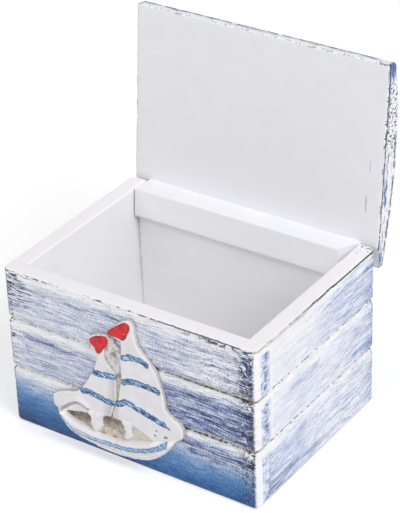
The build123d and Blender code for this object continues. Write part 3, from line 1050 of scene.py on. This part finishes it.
# The sailboat: cast shells grown together, then the fine relief

bow = (-27.6, 11.4)
stern = (25.2, 14.6)
keel_line = [bow, (-25.6, 6.8), (-20.0, 2.4), (-4.0, 0.0), (12.0, 2.0), (20.8, 8.0), stern]
sheer_line = [stern, (15.0, 10.4), (-3.0, 5.6), (-19.0, 7.4), bow]
main_head = [
    (2.7, 49.8), (-2.6, 50.5), (-3.6, 51.6), (-0.4, 55.0), (3.3, 58.3), (6.2, 60.0), (7.6, 60.0),
    (8.7, 57.8), (9.3, 53.7),
]
main_leech = [
    (9.3, 53.7), (10.6, 49.4), (14.1, 45.9), (17.1, 42.2), (18.6, 38.7), (20.2, 33.7), (20.9, 29.9),
    (21.1, 26.8),
]
main_flare = [
    (21.1, 26.8), (24.0, 24.3), (27.2, 22.5), (28.7, 19.9), (28.0, 16.6), (25.6, 14.5), (23.4, 13.4),
]
main_foot = [(15.6, 10.4), (6.2, 14.2), (-3.3, 14.4)]
main_luff = [
    (-3.3, 14.4), (-2.4, 17.6), (-0.8, 21.4), (0.0, 23.8), (0.7, 26.5), (1.3, 29.6), (2.1, 33.0),
    (2.3, 35.8), (2.1, 39.2), (2.4, 44.4), (2.7, 49.8),
]
fore_head = [
    (-8.1, 40.6), (-10.4, 42.6), (-12.3, 46.0), (-11.2, 47.7), (-7.6, 49.5), (-3.6, 50.5), (-2.2, 49.6),
    (-2.4, 46.9), (-4.7, 43.7),
]
fore_leech = [
    (-4.7, 43.7), (-4.7, 41.3), (-4.2, 38.9), (-2.9, 37.5), (-1.6, 36.2), (-0.8, 35.1), (-0.2, 33.7),
    (-0.4, 29.6), (-0.5, 26.1), (-0.7, 23.2), (-1.9, 19.9), (-3.1, 16.3), (-3.6, 14.6),
]
fore_foot = [(-3.6, 14.6), (-14.9, 12.5), (-27.1, 9.3)]
fore_luff = [
    (-27.1, 9.3), (-29.2, 10.2), (-31.0, 12.0), (-30.8, 14.4), (-29.0, 16.7), (-24.5, 19.0),
    (-20.1, 20.3), (-17.3, 22.2), (-14.0, 27.0), (-11.1, 32.2), (-9.1, 36.9), (-8.1, 40.6),
]
fore_post = [
    (-15.2, 14.2), (-10.5, 14.9), (-6.0, 15.0), (-7.7, 12.4), (-7.4, 9.6), (-9.2, 6.2), (-11.8, 6.4),
    (-13.4, 8.2), (-13.0, 11.2),
]
main_post = [
    (0.6, 15.6), (3.4, 15.9), (7.0, 15.4), (5.3, 12.4), (5.9, 9.6), (4.6, 7.6), (2.0, 7.4), (2.6, 10.8),
]
main_pennant = [
    (-2.9, 52.1), (-0.1, 54.8), (2.5, 56.8), (4.7, 58.3), (6.3, 58.6), (7.4, 57.6), (7.3, 56.1),
    (6.2, 54.0), (4.9, 51.4), (3.7, 50.8), (1.4, 51.1), (-0.7, 51.0), (-2.4, 51.2),
]
fore_pennant = [
    (-11.2, 46.3), (-9.1, 48.1), (-6.5, 49.3), (-4.0, 49.8), (-2.9, 49.1), (-2.8, 47.3), (-3.7, 45.4),
    (-5.1, 43.9), (-6.1, 42.3), (-7.6, 41.3), (-8.4, 42.1), (-9.4, 43.8), (-10.9, 44.7),
]
deck_edge = [(-25.0, 12.8), (-24.0, 8.6), (-3.0, 3.4), (15.0, 8.0), (21.0, 12.2), (19.0, 14.6)]
web_edge = [
    (9.0, 17.5), (5.5, 30.0), (5.5, 44.5), (2.3, 44.0), (0.3, 46.0), (-0.9, 47.2), (-1.2, 49.6),
    (-3.4, 49.4), (-5.6, 44.0), (-5.4, 38.0), (-2.6, 34.0), (-2.6, 27.0), (-6.0, 17.0), (-20.0, 14.6),
]
web_lump = [
    (-3.2, 48.5), (-0.8, 50.0), (-0.4, 47.5), (0.7, 46.5), (2.6, 44.9), (2.6, 39.1), (2.6, 36.0),
    (-0.1, 34.9), (-1.8, 36.4), (-4.4, 38.9), (-4.8, 41.7), (-4.3, 44.1), (-3.3, 46.1),
]

# Painted lines on the sails and the hull
stripes = [
    [(3.9, 43.2), (6.7, 44.4), (9.5, 44.5), (12.3, 44.4), (13.8, 43.6)],
    [(3.2, 32.7), (6.5, 34.0), (9.5, 34.2), (12.5, 34.2), (15.3, 34.2), (18.2, 33.6)],
    [(0.0, 22.0), (2.1, 23.1), (4.0, 24.1), (8.0, 23.1), (13.0, 21.9), (17.0, 21.0), (20.2, 20.0)],
    [(-10.3, 32.4), (-8.3, 32.4), (-5.4, 32.7), (-2.9, 33.1), (-1.4, 33.3)],
    [(-15.9, 22.1), (-13.5, 22.8), (-11.3, 22.5), (-8.7, 22.1), (-6.2, 21.6), (-3.7, 21.4), (-1.9, 21.4)],
]
hull_band = [
    (-25.9, 8.2), (-22.0, 5.0), (-17.4, 4.1), (-11.0, 3.6), (-2.6, 4.0), (3.6, 4.5), (11.4, 6.5),
    (16.7, 9.1), (21.6, 12.2),
]
strakes = [
    [(-21.0, 3.2), (-13.3, 2.5), (-5.4, 2.1), (3.4, 2.6), (12.1, 4.9), (20.0, 9.6)],
    [(-18.0, 2.0), (-11.6, 1.3), (-4.6, 0.9), (3.3, 1.5), (11.2, 3.2), (18.6, 7.4)],
]
fold_line = [(-26.1, 10.7), (-23.0, 13.4), (-20.6, 15.0), (-18.4, 15.7), (-16.6, 15.4), (-14.3, 14.5)]
stain_lines = [[(21.4, 19.4), (22.6, 19.0)], [(20.4, 14.6), (21.4, 14.8)]]
stain_dots = [[(16.8, 16.2), (16.9, 16.1)], [(16.0, 14.0), (16.1, 14.1)]]


def curve(points, pitch=0.5):
    """Places along the smooth line through some points."""
    points = np.array(points, float)
    ends = np.vstack((2 * points[0] - points[1], points, 2 * points[-1] - points[-2]))
    places = []
    for n in range(1, len(ends) - 2):
        before, start, end, after = ends[n - 1 : n + 3]
        count = max(2, int(np.linalg.norm(end - start) / pitch))
        share = np.arange(count)[:, None] / count
        slope_in, slope_out = (end - before) / 2, (after - start) / 2
        bend = 3 * (end - start) - 2 * slope_in - slope_out
        twist = 2 * (start - end) + slope_in + slope_out
        places.append(start + slope_in * share + bend * share**2 + twist * share**3)
    return np.vstack((*places, points[-1:]))


def straight(points, pitch=0.5):
    """Places along straight runs between some points."""
    points = np.array(points, float)
    places = []
    for start, end in zip(points, points[1:]):
        count = max(1, int(np.linalg.norm(end - start) / pitch))
        places.append(start + (end - start) * np.arange(count)[:, None] / count)
    return np.vstack((*places, points[-1:]))


def ring(*runs):
    """One closed outline from runs that meet end to end."""
    return np.vstack([run[:-1] for run in runs])


def distance(places, *lines):
    """Distance of each place to the nearest of some lines."""
    nearest = np.full(len(places), np.inf)
    for line in lines:
        line = np.array(line, float)
        for start, end in zip(line, line[1:]):
            run = end - start
            share = np.clip(((places - start) @ run) / max(run @ run, tiny * tiny), 0, 1)
            gap = places - start - share[:, None] * run
            nearest = np.minimum(nearest, np.hypot(gap[:, 0], gap[:, 1]))
    return nearest


def is_inside(places, outline):
    """Which places lie within a closed outline."""
    found = np.zeros(len(places), bool)
    for start, end in zip(outline, np.roll(outline, -1, axis=0)):
        crosses = (start[1] > places[:, 1]) != (end[1] > places[:, 1])
        level = (places[:, 1] - start[1]) / np.where(crosses, end[1] - start[1], 1)
        found ^= crosses & (places[:, 0] < start[0] + level * (end[0] - start[0]))
    return found


def depth_inside(places, outline):
    """Distance to an outline, below zero outside it."""
    closed = np.vstack((outline, outline[:1]))
    return distance(places, closed) * np.where(is_inside(places, outline), 1, -1)


def shell(outline, top, radius, pitch=0.7):
    """A closed plate as points (across, up, out) and faces, with its front edge rounded."""
    low, high = outline.min(0), outline.max(0)
    across, up = np.meshgrid(np.arange(low[0], high[0], pitch), np.arange(low[1], high[1], pitch))
    inner = np.column_stack((across.ravel(), up.ravel()))
    inner = inner[depth_inside(inner, outline) > pitch * 0.45]
    places = [Vector(place) for place in np.vstack((outline, inner))]
    found = delaunay_2d_cdt(places, [], [list(range(len(outline)))], 1, 1e-5)
    flat = np.array([tuple(place) for place in found[0]])
    triangles = [list(face) for face in found[2]]
    from_edge = np.clip(distance(flat, np.vstack((outline, outline[:1]))), 0, radius)
    out = top - radius + np.sqrt(np.maximum(radius**2 - (radius - from_edge) ** 2, 0))
    count = len(flat)
    points = np.vstack((np.column_stack((flat, out)), np.column_stack((flat, np.zeros(count)))))
    sides = [(start, end) for face in triangles for start, end in zip(face, face[1:] + face[:1])]
    shared = set(sides)
    faces = triangles + [[count + corner for corner in reversed(face)] for face in triangles]
    for start, end in sides:
        if (end, start) not in shared:
            faces.append([end, start, count + start, count + end])
    return points, faces


def boat_shells():
    right_side = straight([main_flare[-1], main_foot[0]])
    sail_sides = (curve(main_leech), curve(main_flare), right_side, curve(main_foot), curve(main_luff))
    main_sail = ring(straight(main_head), *sail_sides)
    fore_sail = ring(straight(fore_head), curve(fore_leech), curve(fore_foot), curve(fore_luff))
    hull = ring(curve(keel_line), curve(sheer_line))
    backing = ring(straight(deck_edge + web_edge + deck_edge[:1]))
    posts = [ring(straight(post + post[:1])) for post in (fore_post, main_post)]
    pennants = [ring(curve(pennant + pennant[:1])) for pennant in (main_pennant, fore_pennant)]
    shells = [shell(main_sail, sail_top, 0.4), shell(fore_sail, sail_top, 0.4)]
    shells += [shell(hull, hull_top, 1.3), shell(backing, backing_top, 0.3)]
    shells += [shell(post, post_top, 0.9) for post in posts]
    shells.append(shell(ring(curve(web_lump + web_lump[:1])), lump_top, 0.5))
    shells += [shell(pennant, pennant_top, 0.5, 0.5) for pennant in pennants]
    return shells, {"main": main_sail, "fore": fore_sail, "hull": hull, "pennants": pennants}


def grow_together(shells):
    """Joins shells into one skin, as in a casting."""
    points, faces, count = [], [], 0
    for shell_points, shell_faces in shells:
        points.append(shell_points)
        faces.extend([[corner + count for corner in face] for face in shell_faces])
        count += len(shell_points)
    mesh = bpy.data.meshes.new("boat_parts")
    mesh.from_pydata((np.vstack(points)).tolist(), [], faces)
    parts = bpy.data.objects.new("boat_parts", mesh)
    bpy.context.scene.collection.objects.link(parts)
    remesh = parts.modifiers.new("cast", "REMESH")
    remesh.mode = "VOXEL"
    remesh.voxel_size = cast_pitch
    grown = parts.evaluated_get(bpy.context.evaluated_depsgraph_get())
    cast = bpy.data.meshes.new_from_object(grown)
    spots = np.zeros(len(cast.vertices) * 3)
    cast.vertices.foreach_get("co", spots)
    normals = np.zeros(len(cast.vertices) * 3)
    cast.vertex_normals.foreach_get("vector", normals)
    faces = [list(face.vertices) for face in cast.polygons]
    bpy.data.objects.remove(parts)
    bpy.data.meshes.remove(cast)
    bpy.data.meshes.remove(mesh)
    return spots.reshape(-1, 3), normals.reshape(-1, 3), faces


def to_lines(places, lines):
    """Distance of each place to the nearest of some smooth lines."""
    return distance(places, *[curve(line) for line in lines])


def boat_relief(places, out):
    """How far the cast front stands out or in from the plain shells."""
    from_stripe = to_lines(places, stripes)
    relief = smooth(np.abs(from_stripe - 0.9), 0.4, 0.0) * 0.14 - smooth(from_stripe, 0.8, 0.3) * 0.1
    relief -= smooth(to_lines(places, strakes), 0.5, 0.0) * 0.22
    relief -= smooth(to_lines(places, [hull_band]), 1.3, 0.6) * 0.16
    above_fold = to_lines(places, [[(across, up + 1.6) for across, up in fold_line]])
    relief += smooth(above_fold, 1.8, 0.0) * 0.9 - smooth(to_lines(places, [fold_line]), 1.0, 0.0) * 0.75
    spots = np.column_stack((places, out))
    rough = scatter(spots, 1.1, 41) - 0.5
    coarse = scatter(spots, 3.4, 42) - 0.5
    hollow = smooth(out, 1.56, 1.4)
    relief += hollow * (rough + coarse) * 0.6 + (1 - hollow) * (rough * 0.07 + coarse * 0.16)
    relief += smooth(depth_in_lumps(places), 0.0, 0.6) * (rough * 0.5 + coarse * 0.4)
    return relief + smooth(to_lines(places, [main_luff]), 1.4, 0.4) * 0.2 * (1 - hollow)


def depth_in_lumps(places):
    """Distance to the outlines of the posts and the lump between the sails, below zero outside them."""
    lumps = [np.array(outline, float) for outline in (fore_post, main_post, web_lump)]
    return np.max([depth_inside(places, outline) for outline in lumps], axis=0)


class CastMarks:
    """Marks of the casting: soft clouds, fine grit, ragged edges, streaks and blotches."""

    def __init__(self, finish):
        x, z = finish.x, finish.z
        self.cloud = finish.noise(x / 6.0, 0.0, z / 6.0, 3.0, 0.55)
        self.grit = finish.clouds(0.7)
        self.ragged = finish.noise(x / 1.4, 3.0, z / 0.7, 2.0, 0.6)
        self.streaks = finish.noise(x / 2.6, 6.0, z / 0.6, 2.0, 0.6)
        self.blotches = finish.clouds(2.6, 2.0)


def boat_finish():
    """Off-white cast resin, painted by hand: blue stripes, red pennants, stained hollows, and painted
    shade and highlights.
    """
    finish = Finish("boat_finish")
    marks = CastMarks(finish)
    ragged = marks.ragged
    hollow = finish.attribute("hollow")
    colour = finish.blend((240, 239, 244), (230, 227, 230), marks.cloud)
    colour = finish.blend(colour, hollow_tones(finish, marks), hollow * (ragged * 0.2 + 0.8))
    colour = boat_shade_and_grime(finish, marks, hollow, colour)
    stain = (finish.attribute("stain") + (ragged - 0.5) * 0.4).ramp(0.62, 0.2)
    colour = finish.layers(
        colour,
        # White on the sail rims: dry-brushed paint and a painted highlight
        ((255, 255, 255), finish.attribute("edge") * (ragged * 0.4 + 0.6) * 0.9),
        # Painted shade in the fold of the fore sail, the seams at the sails' foot and the strake lines
        ((166, 152, 134), finish.attribute("crease_shade") * 0.7),
        ((96, 78, 66), stain * 0.9),
    )
    colour = boat_stripes(finish, marks, colour)
    colour = boat_pennants(finish, marks, colour)
    relief = marks.grit * 0.6 + marks.cloud * 0.4
    return finish.complete(colour, marks.grit * 0.12 + 0.44, relief, 0.06, 0.45)


def hollow_tones(finish, marks):
    """Brown tones of the deck, paler at the right, and greyer ones between the sails."""
    blotches, grit = marks.blotches, marks.grit
    deck = finish.layers(
        (218, 208, 196),
        ((142, 122, 104), (blotches * 0.7 + grit * 0.4).ramp(0.25, 1.0)),
        ((222, 214, 204), finish.x.ramp(boat_x + 2.0, boat_x + 8.0) * 0.8),
    )
    web_dark = (blotches * 0.8 + grit * 0.3).ramp(0.25, 0.85)
    web = finish.blend((196, 186, 178), (134, 122, 114), web_dark)
    return finish.blend(deck, web, finish.z.ramp(boat_z + 15.0, boat_z + 20.0))


def boat_shade_and_grime(finish, marks, hollow, colour):
    """Painted shade on the flanks of the lumps, a painted contact shadow with some grime at the foot of
    the casting, grey mottling on the lump between the sails, and painted shade under the sails' foot and
    beside the fore sail's leech, where it turns in.
    """
    x, z = finish.x, finish.z
    cloud, ragged, blotches = marks.cloud, marks.ragged, marks.blotches
    lump, low = finish.attribute("lump"), finish.attribute("low")
    # Painted shade on the low flanks of the posts and the lump
    lump_flank_shade = low * lump.ramp(-0.1, 0.2) * lump.ramp(1.3, 0.3)
    lump_flank_shade = lump_flank_shade * (ragged * 0.5 + blotches * 0.6).ramp(0.35, 0.75)
    # Painted contact shadow, with some grime, on the low side faces at the foot of the casting
    foot_shadow_and_grime = finish.attribute("contact_shadow_and_grime") * (cloud * 0.5 + ragged * 0.4).ramp(0.15, 0.6)
    between = low * lump.ramp(-0.4, 0.0) * z.ramp(boat_z + 30.0, boat_z + 32.0)
    between = between * finish.attribute("red").ramp(-0.2, -0.6)
    mottled = (blotches * 0.9 + marks.grit * 0.3).ramp(0.35, 1.05)
    # Painted shade on the deck under the foot of the sails
    painted_shade_under_foot = finish.attribute("painted_shade_under_foot") * hollow * (blotches * 0.3 + 0.7)
    painted_shade_under_foot = painted_shade_under_foot * x.ramp(boat_x + 7.0, boat_x + 1.0)
    # Painted shade beside the fore sail's leech, where the sail turns in
    painted_shade_turned_in = finish.attribute("painted_shade_turned_in") * z.ramp(boat_z + 38.0, boat_z + 32.0)
    return finish.layers(
        colour,
        ((176, 160, 142), lump_flank_shade * 0.75),
        ((140, 142, 160), foot_shadow_and_grime * 0.75),
        (finish.blend((226, 221, 221), (146, 140, 144), mottled), between),
        ((96, 76, 60), painted_shade_under_foot * 0.9),
        ((196, 190, 188), painted_shade_turned_in * (cloud * 0.3 + 0.7)),
    )


def boat_stripes(finish, marks, colour):
    """Blue stripes with dark streaks and broken edges, and a paler band along the hull."""
    x, z, ragged, streaks = finish.x, finish.z, marks.ragged, marks.streaks
    along = (x * 0.94 - z * 0.34) / 3.4
    across = (x * 0.34 + z * 0.94) / 0.42
    run = finish.noise(along, 9.0, across, 2.0, 0.6)
    fill = finish.blend((74, 138, 196), (190, 220, 244), run.ramp(0.5, 0.72))
    dark = finish.blend((6, 34, 72), (30, 78, 132), ragged)
    far = finish.attribute("stripe") * 0.82 + (ragged - 0.5) * 0.5
    edge = far.band(0.86, 0.12, 0.18) * (streaks * 0.8 + ragged * 0.4).ramp(0.5, 0.62)
    core = far.ramp(0.8, 0.6) * run.ramp(0.5, 0.42)
    band_far = finish.attribute("band") * 0.78 + (ragged - 0.5) * 0.5 + streaks.ramp(0.5, 0.9) * 0.3
    band_edge = band_far.band(0.66, 0.1, 0.18) * (streaks * 0.7 + ragged * 0.5).ramp(0.45, 0.62)
    pale = finish.blend(fill, (224, 233, 243), x.ramp(2.0, -20.0) * 0.55)
    return finish.layers(
        colour,
        (fill, far.ramp(1.1, 0.9) * 0.95),
        (dark, edge.most(core) * 0.96),
        (pale, band_far.ramp(0.8, 0.6) * 0.92),
        ((70, 98, 140), band_edge * 0.85),
    )


def boat_pennants(finish, marks, colour):
    """Red pennants with darker blotches, rims darkened as painted shade, and a few pale spots painted as
    highlight glints.
    """
    blotches, streaks, grit = marks.blotches, marks.streaks, marks.grit
    inside = finish.attribute("red") + (marks.ragged - 0.5) * 0.3
    rim = inside.ramp(0.75, 0.1) * (blotches * 0.7 + streaks * 0.6).ramp(0.55, 0.8)
    red = finish.layers(
        (222, 30, 40),
        ((164, 20, 36), (blotches * 0.6 + grit * 0.5).ramp(0.5, 0.9)),
        # Painted shade along the rims of the pennants
        ((126, 36, 48), rim),
        # Painted highlight: a few pale glint spots
        ((250, 180, 176), (grit * 0.7 + streaks * 0.4).ramp(0.86, 0.95) * 0.7),
    )
    return finish.blend(colour, red, inside.ramp(-0.2, 0.0))


def boat_values(places, out, normals, outlines):
    """Numbers on the casting that place its colours."""
    front = smooth(normals[:, 2], 0.2, 0.7)
    lump = depth_in_lumps(places)
    edges = [np.abs(depth_inside(places, outlines[sail])) for sail in ("main", "fore")]
    sail_edge = np.minimum(*edges)
    planks = smooth(to_lines(places, strakes), 0.4, 0.1) * 0.4
    off_hull = depth_inside(places, outlines["hull"]) < -0.5
    seam = smooth(sail_edge, 0.5, 0.1) * off_hull * smooth(out, 1.76, 1.5)
    fold = smooth(to_lines(places, [fold_line]), 1.1, 0.2)
    by_leech = smooth(to_lines(places, [fore_leech]), 5.0, 0.0) * (places[:, 0] < 0.4)
    # The sail rims that take dry-brushed white and a painted highlight
    by_edge = smooth(np.abs(sail_edge - 0.3), 0.45, 0.1) * (lump < -0.6)
    return {
        "stripe": to_lines(places, stripes),
        "band": to_lines(places, [hull_band]),
        "red": np.max([depth_inside(places, pennant) for pennant in outlines["pennants"]], axis=0),
        "hollow": smooth(out, 1.56, 1.36) * front,
        # Painted contact shadow with some grime on the low side faces
        "contact_shadow_and_grime": smooth(out, 1.2, 0.4) * smooth(normals[:, 2], 0.5, 0.1),
        "lump": lump,
        "low": smooth(out, 1.7, 1.54),
        # Painted shade under the foot of the sails
        "painted_shade_under_foot": smooth(to_lines(places, [main_foot, fore_foot]), 6.4, 1.2),
        # Painted shade where the fore sail turns in
        "painted_shade_turned_in": by_leech * smooth(out, 1.5, 1.7),
        "edge": by_edge * smooth(out, 1.45, 1.7),
        # Painted shade in the fold, the seams and the strake lines
        "crease_shade": np.clip(fold + seam * 0.5 + planks, 0, 1),
        "stain": distance(places, *stain_lines, *stain_dots),
    }


def make_boat():
    shells, outlines = boat_shells()
    spots, normals, faces = grow_together(shells)
    places, out = spots[:, :2], spots[:, 2]
    raised = out + boat_relief(places, out) * smooth(normals[:, 2], 0.2, 0.8)
    raised = np.where(out < 0.5, out, np.clip(raised, 0.6, 4.2))
    depth = np.maximum(raised, 0.0)
    world = np.column_stack((places[:, 0] + boat_x, -half_depth - depth, places[:, 1] + boat_z))
    low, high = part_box("sailboat")
    world = np.clip(world, np.array(low) / MM, np.array(high) / MM)
    values = boat_values(places, out, normals, outlines)
    piece = make_piece("cast_sailboat", world, faces, boat_finish(), values)
    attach(piece, "box")
    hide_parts("sailboat")


# Floor, light and camera


def seen_share(tree):
    """1 for what the camera sees, directly or in a gloss, and 0 for the light that falls on things."""
    path = tree.nodes.new("ShaderNodeLightPath")
    direct = Value(tree, path.outputs["Is Camera Ray"])
    return direct.most(Value(tree, path.outputs["Is Glossy Ray"]))


def make_floor():
    finish = Finish("floor_finish")
    tone = finish.noise(finish.x / 400.0, finish.y / 400.0, 0.0, 2.0)
    colour = finish.blend((246, 246, 246), (248, 248, 248), tone)
    material = finish.complete(colour, tone * 0.05 + 0.85, tone, 0.01, 0.0)
    finish.shader.inputs["Emission Color"].default_value = (1, 1, 1, 1)
    glow = seen_share(finish.tree) * floor_glow
    plug(finish.tree, glow, finish.shader.inputs["Emission Strength"])
    count = 96
    turns = [radians(360 * n / count) for n in range(count)]
    points = [(floor_reach * cos(turn), floor_reach * sin(turn), 0) for turn in turns]
    mesh = bpy.data.meshes.new("floor")
    mesh.from_pydata(points, [], [list(range(count))])
    mesh.materials.append(material)
    floor = bpy.data.objects.new("floor", mesh)
    floor.location.z = -floor_drop
    bpy.context.scene.collection.objects.link(floor)


def add_lamp(name, place, target, size, power):
    data = bpy.data.lights.new(name, "AREA")
    data.shape = "DISK"
    data.size = size
    data.energy = power
    lamp = bpy.data.objects.new(name, data)
    lamp.location = place
    lamp.rotation_euler = (Vector(target) - Vector(place)).to_track_quat("-Z", "Y").to_euler()
    bpy.context.scene.collection.objects.link(lamp)


def make_light():
    middle = (0.0, 0.0, 0.05)
    add_lamp("key", (1.3, -0.35, 1.35), middle, size=1.1, power=17.0)
    add_lamp("fill", (-0.7, -1.5, 0.9), middle, size=1.4, power=7.0)
    world = bpy.data.worlds.new("studio")
    bpy.context.scene.world = world
    world.use_nodes = True
    background = world.node_tree.nodes["Background"]
    background.inputs["Color"].default_value = (1, 1, 1, 1)
    strength = seen_share(world.node_tree) * (1.0 - sky_light) + sky_light
    plug(world.node_tree, strength, background.inputs["Strength"])
    bpy.context.scene.view_settings.view_transform = "Standard"


def make_camera():
    turn, tilt, roll = radians(camera_turn), radians(camera_tilt), radians(camera_roll)
    back = Vector((sin(turn) * cos(tilt), -cos(turn) * cos(tilt), sin(tilt)))
    right = Vector((0, 0, 1)).cross(back).normalized()
    up = back.cross(right)
    across = right * cos(roll) + up * sin(roll)
    upright = up * cos(roll) - right * sin(roll)
    data = bpy.data.cameras.new("camera")
    data.sensor_fit = "HORIZONTAL"
    data.sensor_width = 36.0
    data.lens = camera_lens
    data.clip_end = 20.0
    camera = bpy.data.objects.new("camera", data)
    turned = Matrix((across, upright, back)).transposed().to_4x4()
    camera.matrix_world = Matrix.Translation(camera_place) @ turned
    bpy.context.scene.collection.objects.link(camera)
    bpy.context.scene.camera = camera


def finish_wire():
    steel = wire_finish()
    brads = ("front_brads", "back_brads", "bottom_brads", "bottom_side_brads", "rail_brads")
    for name in ("hinge_pin_left", "hinge_pin_right", *brads):
        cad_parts[name].data.materials.clear()
        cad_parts[name].data.materials.append(steel)


make_walls()
make_bottom()
make_lid()
make_rail()
make_boat()
finish_wire()
make_floor()
make_light()
make_camera()
